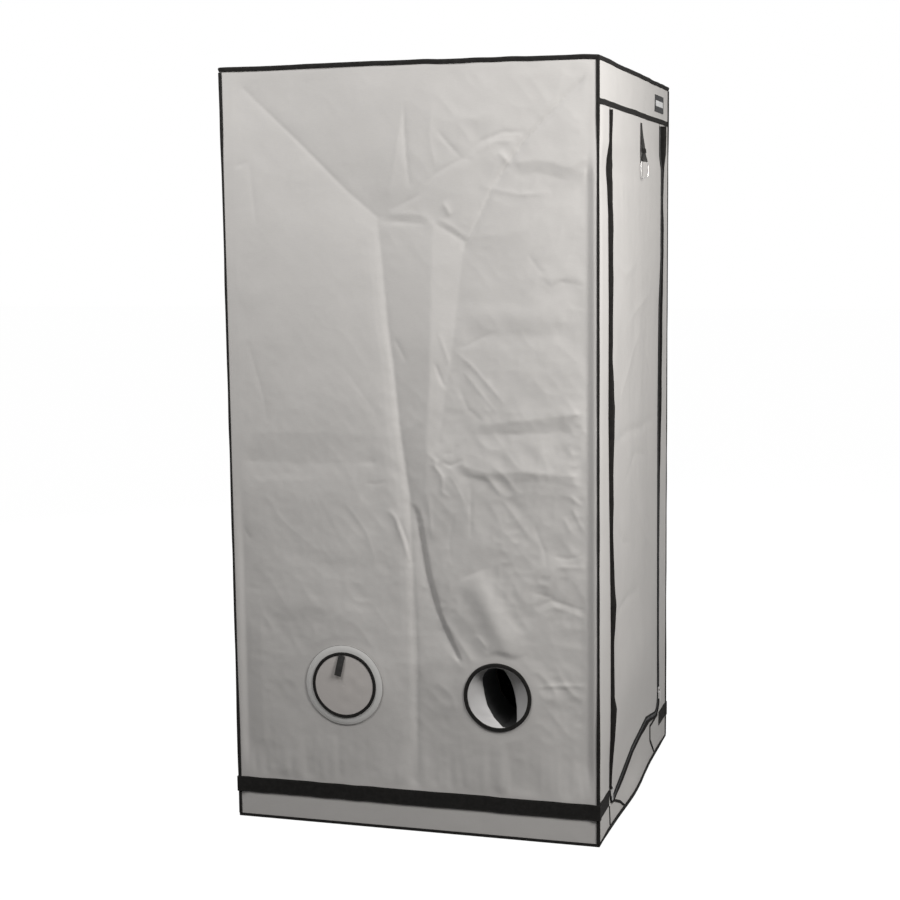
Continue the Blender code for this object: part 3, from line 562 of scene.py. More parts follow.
def band(name, path, section, place, coats, closed=False, seam=0.0, wave=0.0, lift_wave=0.0, seed=1, body="root"):
    """A (side, lift) section carried along a flat path, with softly uneven edges."""
    path = np.asarray(path, float)
    section = np.asarray(section, float)
    count, parts = len(path), len(section)
    shift = mitres(path, closed)
    along = distances(path)
    total = along[-1] + (np.linalg.norm(path[:1] - path[-1:], axis=1)[0] if closed else 0.0)
    turn = along / max(total, 1e-9) * math.tau
    sway = wave * np.sin(turn * 3 + seed) * 0.5 + wave * rough(along, along * 0, 0.06, seed) * 0.8
    rise = lift_wave * rough(along, along * 0, 0.045, seed + 7)
    if closed:
        fade = np.ones(count)
    else:
        fade = np.minimum(1.0, np.minimum(along, total - along) / 0.02)
    side = section[None, :, 0] + (sway * fade)[:, None]
    lift = section[None, :, 1] + (rise * fade)[:, None]
    a = path[:, None, 0] + shift[:, None, 0] * side
    b = path[:, None, 1] + shift[:, None, 1] * side
    points = place(a, b, lift).reshape(-1, 3)
    faces = tube(np.arange(count * parts).reshape(count, parts), closed)
    uvs = stacked(along[:, None], distances(section)[None, :] - seam).reshape(-1, 2)
    return piece(name, points, faces, coats, uvs, None, body, sharp=38.0)


def soft_strip(low, high, back, front, soft=0.0005, bulge=0.0):
    """The section of a flat tape with soft edges: (side, lift) points, front face first."""
    mid = (low + high) / 2
    return [
        (low, front - soft), (low + soft, front), (mid, front + bulge), (high - soft, front),
        (high, front - soft), (high, back), (low, back),
    ]


def port(name, profile, centre, place, coats, steps=96, ripple=0.0, seed=3, body="root", seam=0.0):
    """A closed (radius, level) profile carried round a port's centre."""
    profile = np.asarray(profile, float)
    turns = np.arange(steps) / steps * math.tau
    wobble = ripple * (np.sin(turns * 5 + seed) * 0.5 + np.sin(turns * 9 + 2 * seed) * 0.3 + np.sin(turns * 2) * 0.4)
    radius = profile[None, :, 0] + wobble[:, None]
    level = profile[None, :, 1] + 0.3 * wobble[:, None] * (profile[None, :, 1] > profile[:, 1].min())
    a = centre[0] + radius * np.cos(turns)[:, None]
    b = centre[1] + radius * np.sin(turns)[:, None]
    points = place(a, b, level).reshape(-1, 3)
    faces = tube(np.arange(steps * len(profile)).reshape(steps, -1), closed=True)
    around = turns * profile[:, 0].mean()
    uvs = stacked(around[:, None], distances(profile)[None, :] - seam).reshape(-1, 2)
    return piece(name, points, faces, coats, uvs, None, body, sharp=38.0)


def stands_for(made, slot, *nodes):
    """Hide the CAD nodes that a piece stands for; its finish slot is not used."""
    if nodes:
        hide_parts(*nodes)
    return made


# The walls' relief
# Creases of the left wall as (along y, up z, how far in, in millimetres). Most were marked in the
# photograph and carried to the wall through its camera; their depths were chosen
main_creases = (
    ((0.430, 1.944, 3), (0.287, 1.811, 12), (0.155, 1.683, 20), (0.074, 1.615, 26)),
    ((-0.450, 1.934, 2.5), (-0.413, 1.901, 6), (-0.316, 1.802, 11), (-0.272, 1.747, 14), (-0.167, 1.561, 23)),
    ((0.074, 1.615, 26), (0.061, 1.476, 26), (0.051, 1.340, 25.5), (0.035, 1.235, 25), (0.024, 1.087, 24),
     (0.008, 0.960, 22.5), (-0.003, 0.890, 21)),
    ((0.088, 1.580, 23.2), (0.080, 1.476, 22.2), (0.069, 1.340, 21.4), (0.053, 1.235, 20.6), (0.042, 1.087, 19.8),
     (0.025, 0.960, 18.2), (0.013, 0.850, 15.6), (0.012, 0.700, 12.4), (0.007, 0.482, 8.6), (0.008, 0.250, 5.2)),
    ((0.104, 1.560, 21.2), (0.096, 1.476, 20.0), (0.086, 1.340, 18.9), (0.070, 1.235, 18.2), (0.059, 1.087, 17.4),
     (0.043, 0.960, 15.8), (0.030, 0.850, 13.2), (0.028, 0.700, 10.6), (0.024, 0.482, 7.0), (0.026, 0.250, 3.6)),
    ((0.120, 1.540, 19.8), (0.112, 1.476, 18.6), (0.104, 1.340, 17.6), (0.088, 1.235, 17.0), (0.077, 1.087, 16.4),
     (0.060, 0.960, 14.8), (0.050, 0.850, 12.4)),
    ((-0.003, 0.890, 21), (-0.001, 0.800, 18.5), (-0.003, 0.714, 16.5), (-0.007, 0.614, 14.5), (-0.010, 0.482, 12),
     (-0.009, 0.250, 8), (-0.007, 0.135, 3)),
    ((0.074, 1.615, 26), (0.000, 1.605, 23.5), (-0.073, 1.600, 19)),
    ((-0.073, 1.600, 19), (-0.064, 1.341, 16.5), (-0.060, 1.200, 15.5), (-0.056, 1.138, 15), (-0.049, 1.020, 14.5),
     (-0.045, 0.900, 14.5)),
    ((-0.073, 1.600, 19), (-0.118, 1.577, 22), (-0.157, 1.552, 25)),
    ((-0.157, 1.552, 25), (-0.143, 1.444, 25), (-0.130, 1.341, 24), (-0.119, 1.257, 23), (-0.102, 1.160, 21.5),
     (-0.085, 1.041, 17.5)),
    ((-0.006, 0.881, 18.5), (-0.021, 0.851, 21.5), (-0.031, 0.792, 23), (-0.045, 0.707, 22.5), (-0.055, 0.666, 21.5),
     (-0.074, 0.597, 18.5), (-0.105, 0.528, 13.5), (-0.130, 0.475, 7.5)),
    ((-0.029, 0.868, 16.5), (-0.034, 0.848, 16), (-0.043, 0.792, 16), (-0.057, 0.705, 15), (-0.067, 0.662, 14),
     (-0.086, 0.592, 11.5), (-0.116, 0.521, 7), (-0.138, 0.476, 3)),
    ((-0.105, 1.062, 18), (-0.130, 1.062, 17), (-0.300, 1.068, 12), (-0.400, 1.072, 9), (-0.465, 1.076, 6.5)),
    ((-0.110, 0.988, 14), (-0.151, 0.980, 11), (-0.212, 0.963, 7.5), (-0.309, 0.970, 4.5), (-0.400, 0.962, 3),
     (-0.440, 0.964, 2.5)),
    ((-0.150, 0.955, 14), (-0.212, 0.940, 11), (-0.309, 0.945, 7.5), (-0.440, 0.942, 4.5)),
    ((-0.200, 1.088, 13), (-0.281, 1.098, 8), (-0.362, 1.108, 4.8), (-0.444, 1.120, 2.4)),
    ((0.465, 1.052, 0.5), (0.300, 1.056, 6), (0.094, 1.060, 15)),
    ((0.440, 0.978, 4.5), (0.300, 0.976, 9.5), (0.096, 0.984, 17)),
    ((0.450, 0.932, 2), (0.300, 0.930, 7), (0.100, 0.945, 15)),
    ((0.424, 0.600, 2.5), (0.424, 0.500, 0.8), (0.424, 0.360, 0.2), (0.424, 0.220, 0.0)),
    ((-0.300, 1.745, 10), (-0.345, 1.752, 7), (-0.390, 1.743, 4.8), (-0.432, 1.730, 2.8), (-0.468, 1.752, 1)),
    ((-0.295, 1.713, 14), (-0.345, 1.720, 12), (-0.390, 1.708, 9.8), (-0.432, 1.693, 7.2), (-0.468, 1.720, 3.4)),
)
# Small wrinkles as (rise in mm, width in mm, sharp, points)
wrinkles = (
    (-1.3, 5, True, ((0.450, 1.962), (0.287, 1.811), (0.155, 1.683), (0.070, 1.612))),
    (-1.4, 5, True, ((0.074, 1.615), (0.051, 1.340), (0.024, 1.087), (-0.003, 0.890), (-0.003, 0.640),
                     (-0.008, 0.150))),
    (-6.0, 5, True, ((-0.492, 1.972), (-0.413, 1.901), (-0.316, 1.802), (-0.272, 1.747), (-0.240, 1.700))),
    (-3.6, 6, True, ((-0.290, 1.770), (-0.267, 1.738), (-0.228, 1.683), (-0.197, 1.617), (-0.150, 1.530))),
    (1.2, 24, False, ((-0.330, 1.488), (-0.373, 1.456), (-0.412, 1.478), (-0.475, 1.458))),
    (-1.2, 20, False, ((-0.335, 1.446), (-0.376, 1.413), (-0.412, 1.436), (-0.475, 1.416))),
    (-1.2, 6, True, ((-0.350, 1.462), (-0.380, 1.438), (-0.405, 1.452), (-0.430, 1.448), (-0.475, 1.438))),
    (1.5, 24, False, ((-0.150, 1.370), (-0.299, 1.368), (-0.440, 1.366))),
    (-1.5, 24, False, ((-0.150, 1.316), (-0.299, 1.316), (-0.440, 1.318))),
    (-1.2, 5, True, ((0.066, 1.606), (0.010, 1.603), (-0.056, 1.598))),
    (-2.6, 7, True, ((0.000, 1.905), (0.000, 1.838), (-0.004, 1.772), (-0.012, 1.690))),
    (1.6, 9, True, ((-0.003, 1.912), (0.012, 1.838), (0.024, 1.772), (0.046, 1.668))),
    (1.2, 8, True, ((-0.075, 1.900), (-0.066, 1.820), (-0.080, 1.740))),
    (-1.6, 5, True, ((-0.086, 1.831), (-0.120, 1.792), (-0.150, 1.761))),
    (-2.2, 5, True, ((-0.160, 1.760), (-0.199, 1.800), (-0.258, 1.822), (-0.317, 1.821))),
    (1.6, 8, True, ((-0.190, 1.775), (-0.240, 1.800), (-0.290, 1.800))),
    (-1.8, 6, True, ((-0.039, 1.681), (-0.079, 1.723), (-0.150, 1.759), (-0.180, 1.757))),
    (2.8, 9, True, ((-0.246, 1.774), (-0.262, 1.758), (-0.275, 1.740))),
    (1.4, 9, True, ((0.044, 1.620), (0.010, 1.624), (-0.035, 1.622), (-0.066, 1.610))),
    (-1.6, 6, True, ((0.044, 1.634), (0.014, 1.646), (-0.033, 1.668), (-0.060, 1.690))),
    (1.8, 8, True, ((-0.084, 1.612), (-0.122, 1.592), (-0.158, 1.568))),
    (-1.2, 5, True, ((-0.078, 1.600), (-0.120, 1.575), (-0.160, 1.551))),
    (3.0, 9, True, ((-0.098, 1.650), (-0.108, 1.640), (-0.118, 1.618))),
    (1.4, 6, True, ((-0.200, 1.690), (-0.300, 1.668), (-0.380, 1.672))),
    (-1.2, 6, True, ((-0.320, 1.520), (-0.345, 1.488), (-0.360, 1.470))),
    (-2.4, 4, True, ((-0.073, 1.246), (-0.092, 1.198), (-0.102, 1.183))),
    (1.6, 4, True, ((-0.085, 1.320), (-0.105, 1.262), (-0.110, 1.240))),
    (1.8, 5, True, ((-0.129, 1.275), (-0.174, 1.237), (-0.233, 1.171), (-0.258, 1.142))),
    (1.4, 5, True, ((-0.150, 1.225), (-0.203, 1.160), (-0.237, 1.120))),
    (-1.3, 5, True, ((-0.126, 1.285), (-0.155, 1.290), (-0.195, 1.310), (-0.235, 1.325))),
    (-1.2, 5, True, ((-0.135, 1.190), (-0.160, 1.130), (-0.200, 1.098))),
    (-1.4, 5, True, ((0.036, 1.310), (0.020, 1.282), (0.006, 1.250))),
    (-0.6, 6, True, ((0.175, 1.233), (0.083, 1.107))),
    (-1.0, 7, True, ((0.444, 1.300), (0.400, 1.150), (0.392, 1.080))),
    (3.0, 6, True, ((-0.049, 1.014), (-0.073, 0.991), (-0.068, 0.981), (-0.089, 0.953), (-0.088, 0.914),
                    (-0.110, 0.899))),
    (-2.6, 4, True, ((-0.089, 0.992), (-0.111, 0.982), (-0.146, 0.998))),
    (-1.5, 5, True, ((-0.095, 1.010), (-0.118, 1.016), (-0.130, 1.040))),
    (1.6, 5, True, ((-0.110, 0.960), (-0.140, 0.905), (-0.150, 0.880))),
    (-1.2, 5, True, ((0.060, 0.935), (0.095, 0.928), (0.120, 0.930))),
    (0.6, 6, True, ((0.407, 0.897), (0.350, 0.817), (0.249, 0.740))),
    (-0.5, 7, True, ((0.262, 0.898), (0.183, 0.745))),
    (-2.2, 4, True, ((-0.006, 0.800), (-0.010, 0.640), (-0.015, 0.482), (-0.014, 0.250), (-0.012, 0.120))),
    (-1.6, 5, True, ((0.480, 0.817), (0.449, 0.767))),
    (1.2, 7, True, ((0.180, 0.880), (0.120, 0.800), (0.095, 0.720))),
    (-1.4, 5, True, ((-0.002, 0.887), (-0.012, 0.868), (-0.021, 0.850))),
    (3.4, 6, True, ((0.060, 0.862), (0.041, 0.844), (0.021, 0.789), (0.001, 0.725))),
    (-2.6, 4, True, ((0.030, 0.840), (0.010, 0.785), (-0.004, 0.722))),
    (-2.4, 3.5, True, ((-0.010, 0.880), (-0.021, 0.851), (-0.031, 0.792), (-0.045, 0.707), (-0.055, 0.666),
                       (-0.074, 0.597), (-0.105, 0.528), (-0.140, 0.449), (-0.150, 0.436))),
    (2.0, 6, True, ((-0.050, 0.900), (-0.054, 0.860), (-0.060, 0.790))),
    (-1.6, 4, True, ((-0.166, 0.935), (-0.164, 0.797))),
    (-1.2, 5, True, ((-0.120, 0.860), (-0.105, 0.780), (-0.115, 0.720))),
    (9.0, 33, False, ((-0.168, 0.700), (-0.205, 0.620), (-0.240, 0.545), (-0.268, 0.480))),
    (2.4, 6, True, ((-0.177, 0.542), (-0.207, 0.504))),
    (1.8, 5, True, ((-0.425, 0.914), (-0.459, 0.887))),
    (1.8, 5, True, ((-0.430, 0.886), (-0.449, 0.847), (-0.469, 0.809))),
    (1.6, 5, True, ((-0.410, 0.860), (-0.429, 0.817))),
    (-1.6, 6, True, ((-0.330, 0.843), (-0.360, 0.766), (-0.366, 0.720))),
    (1.5, 5, True, ((-0.389, 0.728), (-0.469, 0.732))),
    (-1.4, 5, True, ((-0.372, 0.760), (-0.420, 0.752), (-0.465, 0.765))),
    (-1.8, 5, True, ((-0.334, 0.621), (-0.378, 0.643), (-0.468, 0.618))),
    (1.4, 6, True, ((-0.340, 0.606), (-0.385, 0.626), (-0.468, 0.602))),
    (-1.4, 5, True, ((-0.329, 0.660), (-0.389, 0.648))),
    (1.8, 4, True, ((-0.328, 0.413), (-0.400, 0.420), (-0.473, 0.425))),
    (-1.2, 9, True, ((0.425, 1.770), (0.409, 1.594))),
    (-1.1, 5, True, ((0.478, 1.745), (0.428, 1.762))),
    (-1.4, 30, False, ((0.380, 0.760), (0.200, 0.700), (0.060, 0.720))),
    (1.6, 34, False, ((0.420, 0.620), (0.260, 0.600), (0.100, 0.560))),
)
# The same for the right and back walls, which aren't in view
far_creases = (
    ((-0.430, 1.930, 3), (-0.240, 1.770, 13), (-0.090, 1.640, 21)),
    ((0.430, 1.920, 3), (0.250, 1.800, 12), (0.120, 1.690, 19)),
    ((-0.090, 1.640, 21), (0.120, 1.690, 19)),
    ((-0.090, 1.640, 21), (-0.060, 1.100, 20), (-0.030, 0.600, 14), (-0.040, 0.250, 4)),
    ((0.120, 1.690, 19), (0.080, 1.250, 16), (-0.060, 1.000, 19)),
    ((-0.360, 1.020, 4), (-0.060, 1.030, 18), (0.330, 1.015, 5)),
)
far_wrinkles = (
    (-4.0, 24, True, ((-0.430, 1.930), (-0.240, 1.770), (-0.090, 1.640), (-0.060, 1.100), (-0.030, 0.500))),
    (3.0, 12, False, ((0.050, 1.880), (0.020, 1.720))),
    (-3.0, 11, False, ((0.130, 1.820), (0.230, 1.850), (0.300, 1.830))),
    (3.0, 12, False, ((-0.472, 0.985), (-0.100, 0.995), (0.472, 0.980))),
    (-2.6, 12, False, ((0.250, 1.420), (0.360, 1.440), (0.472, 1.430))),
    (-2.6, 12, False, ((-0.250, 1.300), (-0.360, 1.320), (-0.472, 1.310))),
    (3.0, 24, False, ((0.180, 0.700), (0.270, 0.560))),
    (-2.6, 10, False, ((-0.140, 0.860), (-0.090, 0.720))),
    (2.4, 10, False, ((0.350, 0.820), (0.460, 0.790))),
    (-2.4, 12, False, ((-0.320, 0.640), (-0.450, 0.620))),
)


def wall_relief(across, up, creases, small, discs, pinches, seed, top=1.952, calm=None):
    """How far a wall stands out of its plane: creased, crumpled away from the calm line, pinched at its seams."""
    held = (np.abs(across) > post_edge) | (up < 0.113) | (up > top)
    levels = np.zeros(across.shape)
    edge = np.where(across < 0, pinches[0], pinches[1]) * smooth(up, 0.12, 0.22) * smooth(up, top, top - 0.05)
    levels = np.where(np.abs(across) > post_edge, -edge, levels)
    for a0, b0, radius in discs:
        held |= np.hypot(across - a0, up - b0) < radius
    levels = np.where(held, levels, 0.0)
    columns = across[0]
    rows = up[:, 0]
    for line in creases:
        spots = finer(line, 0.003)
        i = np.clip(np.searchsorted(rows, spots[:, 1]), 0, len(rows) - 1)
        j = np.clip(np.searchsorted(columns, spots[:, 0]), 0, len(columns) - 1)
        held[i, j] = True
        levels[i, j] = -spots[:, 2] / 1000
    skin = blurred(membrane(held, levels), 1)
    free = smooth(np.abs(across), 0.474, 0.450) * smooth(up, 0.113, 0.145) * smooth(up, top + 0.010, top - 0.030)
    for a0, b0, radius in discs:
        free = free * smooth(np.hypot(across - a0, up - b0), radius, radius + 0.025)
    extra = np.zeros(across.shape)
    for rise, width, sharp, points in small:
        extra += ridge(across, up, rise / 1000, width / 1000, points, sharp)
    busy = 0.22 + 0.30 * smooth(up, 1.20, 0.95) + smooth(across, 0.02, -0.22) * (0.40 + 0.40 * smooth(up, 1.30, 1.05))
    busy = busy * smooth(up, 0.20, 0.42)
    if calm is not None:
        busy = busy * (1.0 - 0.85 * np.exp(-((line_distance(across, up, calm)[0] / 0.045) ** 2)))
    wide, narrow = rough(across, up, 0.110, seed, 0.8), rough(across, up, 0.048, seed + 1)
    extra += (0.5 + busy) * 0.0010 * wide + busy * 0.0006 * narrow
    for lean, cell, tall, deep in ((0.5, 0.060, 1.7, 0.0011), (-0.7, 0.043, 1.4, 0.0008), (0.1, 0.026, 1.0, 0.0004)):
        folds = rough(across + lean * up, up - 0.2 * lean * across, cell, seed + 2 + int(cell * 1000), tall)
        where = 0.5 + 0.5 * rough(across, up, 0.130, seed + 3 + int(cell * 1000))
        extra += busy * where * deep * (1.0 - 2.5 * np.abs(folds))
    pleats = rough(across, up, 0.030, seed + 5, 7.0) + 0.6 * rough(across, up, 0.015, seed + 6, 9.0)
    extra += 0.0016 * pleats * smooth(up, 0.30, 0.15)
    mottle = rough(across, up, 0.022, seed + 7) + 0.7 * rough(across, up, 0.013, seed + 8)
    extra += 0.00022 * mottle * smooth(up, 1.50, 1.00)
    skin = skin + extra * free
    seam = smooth(np.abs(across), 0.4905, 0.4700)
    return np.where(np.abs(across) > post_edge, -edge * seam, skin)


def sampled(field, count_a, count_b):
    """A field over a rectangle, read again on a grid of other counts."""
    rows, columns = field.shape
    i = np.linspace(0.0, rows - 1.0, count_b + 1)
    j = np.linspace(0.0, columns - 1.0, count_a + 1)
    below = np.minimum(i.astype(int), rows - 2)
    left = np.minimum(j.astype(int), columns - 2)
    fi = (i - below)[:, None]
    fj = (j - left)[None, :]
    near = field[below][:, left] * (1 - fj) + field[below][:, left + 1] * fj
    far = field[below + 1][:, left] * (1 - fj) + field[below + 1][:, left + 1] * fj
    return near * (1 - fi) + far * fi


def on_left_seen(a, b, out):
    """The left wall, its deep places slid sideways so that creases show where the photograph has them."""
    deep = np.maximum(-out, 0.0) / (-half - stand[0])
    slide = smooth(np.abs(a), 0.490, 0.440)
    return on_left(a + deep * (a - stand[1]) * slide, b + deep * (b - stand[2]) * slide, out)


def build_walls():
    across, up = grid(-half, half, wall_low, wall_high, 336, 672)
    discs = ((*intake, 0.101), (*vent, 0.113))
    pinches = (0.0015 + 0.0070 * smooth(up, 1.76, 1.69), 0.0005 + 0.0045 * smooth(up, 0.95, 0.70))
    calm = ((-0.150, 0.760), (-0.205, 0.625), (-0.264, 0.490))
    out = wall_relief(across, up, main_creases, wrinkles, discs, pinches, 11, top=1.984, calm=calm)
    columns, rows = 232, 460
    out = sampled(out, columns, rows)
    across, up = grid(-half, half, wall_low, wall_high, columns, rows)
    bow = 0.003 * (1.0 - (2.0 * across) ** 2) * smooth(up, 1.90, 1.9985)
    made = panel("left_wall_cloth", across, up + bow, out, on_left_seen, (canvas, silver),
                 hole=(*intake, intake_hole))
    stands_for(made, "tent_cloth", "left_wall")

    across, up = grid(-half, half, wall_low, wall_high, 120, 240)
    out = wall_relief(across, up, far_creases, far_wrinkles, (), (0.0045, 0.0040), 31)
    made = panel("right_wall_cloth", across, up, out, on_right, (canvas, silver))
    stands_for(made, "tent_cloth", "right_wall")

    across, up = grid(-panel_half, panel_half, wall_low, wall_high, 120, 240)
    mirrored = tuple(tuple((-a, b, c) for a, b, c in line) for line in far_creases[3:])
    small = tuple((r, w, s, tuple((-a, b) for a, b in pts)) for r, w, s, pts in far_wrinkles[3:])
    out = wall_relief(across, up, mirrored, small, ((*exhaust, 0.122),), (0.0045, 0.0040), 51)
    made = panel("back_wall_cloth", across, up, out, on_back, (canvas, silver), hole=(*exhaust, exhaust_hole))
    stands_for(made, "tent_cloth", "back_wall")


def build_roof_and_floor():
    across, up = grid(-half, half, -half, half, 100, 100)
    inside = smooth(np.abs(across), 0.485, 0.40) * smooth(np.abs(up), 0.485, 0.40)
    puff = 0.0016 * (1.0 + rough(across, up, 0.16, 71)) + 0.0007 * (1.0 + rough(across, up, 0.05, 72))
    puff += np.maximum(0.0, ridge(across, up, 0.0025, 0.010, ((-0.45, 0.02), (0.45, -0.01))))
    made = panel("roof_cloth", across, up, height + puff * inside, on_plan, (canvas, silver))
    stands_for(made, "tent_cloth", "roof_panel")

    across, up = grid(-half, half, -half, half, 80, 80)
    made = panel("floor_cloth", across, up, cloth + 0.0 * up, on_plan, (silver, tray_coat))
    stands_for(made, "tray_cloth", "floor_sheet")


# The front
# How far in the zip's two upright runs lie, as (up z, millimetres).
# Both fade out where the sliders stop at the top
left_depths = (
    (0.14, 0.0), (0.20, -0.8), (0.25, -3.0), (0.33, -4.0), (0.52, -4.0), (0.62, -3.5), (0.80, -1.0), (0.87, 0.0),
    (1.10, 2.2), (1.40, 1.6), (1.62, 3.0), (1.69, 6.0), (1.73, 9.0), (1.76, 7.0), (1.785, 2.5), (1.80, 0.4),
    (1.83, 0.0), (1.88, 0.0),
)
right_depths = (
    (0.18, 0.0), (0.26, 0.5), (0.60, 1.5), (1.05, 2.0), (1.25, 1.0), (1.36, 0.0), (1.45, -3.5), (1.50, -5.0),
    (1.755, -5.0), (1.7835, -1.0), (1.80, 0.0), (1.88, 0.0),
)


def sill_flare(a, b):
    """How far the sill's loose lower edge stands out."""
    return 0.011 * np.exp(-(((a + 0.06) / 0.20) ** 2)) * smooth(b, 0.085, 0.0)


def front_depth(a, b):
    """How far in the front lies, in metres: from its zips' lines, and none at its posts and rails."""
    left = np.interp(b, *zip(*left_depths)) / 1000
    right = np.interp(b, *zip(*right_depths)) / 1000
    share = smooth(a, -zip_half, zip_half)
    level = left * (1.0 - share) + right * share
    return level * smooth(np.abs(a), 0.478, 0.40) * smooth(b, 1.975, 1.90) - sill_flare(a, b)


def skin_front(a, b, out):
    """A point out from the front's cloth."""
    return on_front(a, b, out - front_depth(a, b))


def arc_points(middle, radius, start, end, steps=16):
    turns = np.linspace(start, end, steps + 1)
    return np.stack([middle[0] + radius * np.cos(turns), middle[1] + radius * np.sin(turns)], axis=-1)


def zip_line(offset):
    """The zip's line moved outwards: down the left, along the bottom, up the right."""
    edge = zip_half + offset
    left = arc_points((zip_left[0] - zip_half, zip_left[1]), zip_left[0] + offset, math.pi, 1.5 * math.pi)
    right = arc_points((zip_half - zip_right[0], zip_right[1]), zip_right[0] + offset, 1.5 * math.pi, 2 * math.pi)
    sag = np.array([(a, b - offset) for a, b in sag_points])
    return np.concatenate([[(-edge, zip_top)], left, sag, right, [(edge, zip_top)]])


def lower_edge(offset):
    """The zip's lower line without its upright ends."""
    return finer(zip_line(offset)[1:-1], 0.010)


def add_depth(out, a, b):
    return out - front_depth(a, b)


def build_front():
    across, up = grid(-panel_half, panel_half, header_low, wall_high, 150, 20)
    soft = smooth(up, 1.988, 1.93) * smooth(np.abs(across), 0.478, 0.44)
    out = (0.0012 * rough(across, up, 0.07, 91, 2.0) - 0.0015 * smooth(up, 1.97, 1.90)) * soft
    made = panel("header_cloth", across, up, add_depth(out, across, up), on_front, (canvas, silver))
    stands_for(made, "tent_cloth", "front_header")

    edge = zip_half + zip_setback
    for name, side, low in (("left", -1, zip_left[1]), ("right", 1, zip_right[1])):
        across, up = grid(side * panel_half, side * edge, low + gap, door_top, 20, 240)
        inside = smooth(np.abs(across), 0.478, 0.45) * smooth(np.abs(across), edge, edge + 0.03)
        out = 0.0010 * rough(across, up, 0.05, 93 + side, 3.0) * inside
        out -= 0.0022 * smooth(np.abs(across), 0.490, 0.476) * smooth(np.abs(across), 0.455, 0.470)
        made = panel(f"jamb_cloth_{name}", across, up, add_depth(out, across, up), on_front, (canvas, silver))
        stands_for(made, "tent_cloth", f"front_jamb_{name}")

    top = np.concatenate([[(-panel_half, zip_left[1])], [(-0.43, zip_left[1])], lower_edge(zip_setback),
                          [(0.43, zip_right[1])], [(panel_half, zip_right[1])]])
    share = np.linspace(0.0, 1.0, 15)[:, None]
    across = top[None, :, 0] + 0.0 * share
    up = wall_low + (top[None, :, 1] - wall_low) * share
    out = 0.0008 * rough(across, up, 0.05, 97) * smooth(up, 0.010, 0.050) * smooth(np.abs(across), 0.478, 0.40)
    made = panel("sill_cloth", across, up, add_depth(out, across, up), on_front, (canvas, silver))
    stands_for(made, "tent_cloth", "front_sill")


# The door's folds, in the wrinkles' form
door_folds = (
    (-2.6, 70, False, ((-0.210, 1.780), (-0.190, 1.240), (-0.200, 0.800), (-0.180, 0.300))),
    (-3.4, 80, False, ((-0.030, 1.800), (-0.010, 1.280), (0.010, 0.840), (-0.020, 0.300))),
    (-5.0, 90, False, ((0.180, 1.780), (0.170, 1.200), (0.200, 0.760), (0.190, 0.300))),
    (9.0, 110, False, ((-0.300, 0.360), (0.000, 0.380), (0.300, 0.350))),
    (-2.4, 14, False, ((-0.300, 1.020), (-0.100, 1.035), (0.120, 1.020), (0.310, 1.030))),
    (-2.0, 12, False, ((-0.300, 0.560), (-0.120, 0.580), (0.060, 0.560))),
    (2.0, 14, False, ((-0.280, 1.500), (-0.150, 1.460), (0.020, 1.490))),
    (2.8, 14, True, ((-0.100, 1.330), (0.060, 1.370), (0.220, 1.400))),
    (-3.0, 16, True, ((0.080, 1.330), (0.180, 1.250), (0.260, 1.140))),
    (3.2, 18, True, ((-0.220, 1.120), (-0.060, 1.230), (0.080, 1.300))),
    (-2.6, 14, True, ((-0.160, 0.900), (0.020, 0.960), (0.200, 0.930))),
    (2.6, 16, True, ((0.020, 0.820), (0.160, 0.700), (0.300, 0.640))),
    (-2.4, 14, True, ((-0.300, 0.820), (-0.180, 0.740), (-0.060, 0.720))),
)


def build_door():
    """The door's cloth, folded softly between its zips."""
    low = lower_edge(-zip_setback)
    share = np.linspace(0.0, 1.0, 261)[:, None]
    across = low[None, :, 0] + 0.0 * share
    line = low[None, :, 1]
    up = line + (door_top - line) * share
    edge = zip_half - zip_setback
    free = smooth(np.abs(across), edge - 0.014, edge - 0.075) * smooth(up, line + 0.02, line + 0.09)
    free = free * smooth(up, 1.878, 1.80)
    out = np.zeros(across.shape)
    for rise, width, sharp, points in door_folds:
        out += ridge(across, up, rise / 1000, width / 1000, points, sharp)
    out += 0.0016 * rough(across, up, 0.09, 95, 2.6) + 0.0006 * rough(across, up, 0.03, 96, 2.0)
    made = panel("door_cloth", across, up, add_depth(out * free, across, up), on_front, (canvas, silver),
                 body=None)
    stands_for(made, "tent_cloth", "door_panel")
    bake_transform(made)


def zip_section(side):
    """One half of the zip's tape, thick where it holds its coil."""
    near, far = 0.0003, 0.0085
    return [(side * near, 0.0003), (side * far, 0.0003), (side * far, 0.0012), (side * (far - 0.0006), 0.0015),
            (side * 0.0042, 0.0015), (side * 0.0036, 0.0022), (side * near, 0.0022)]


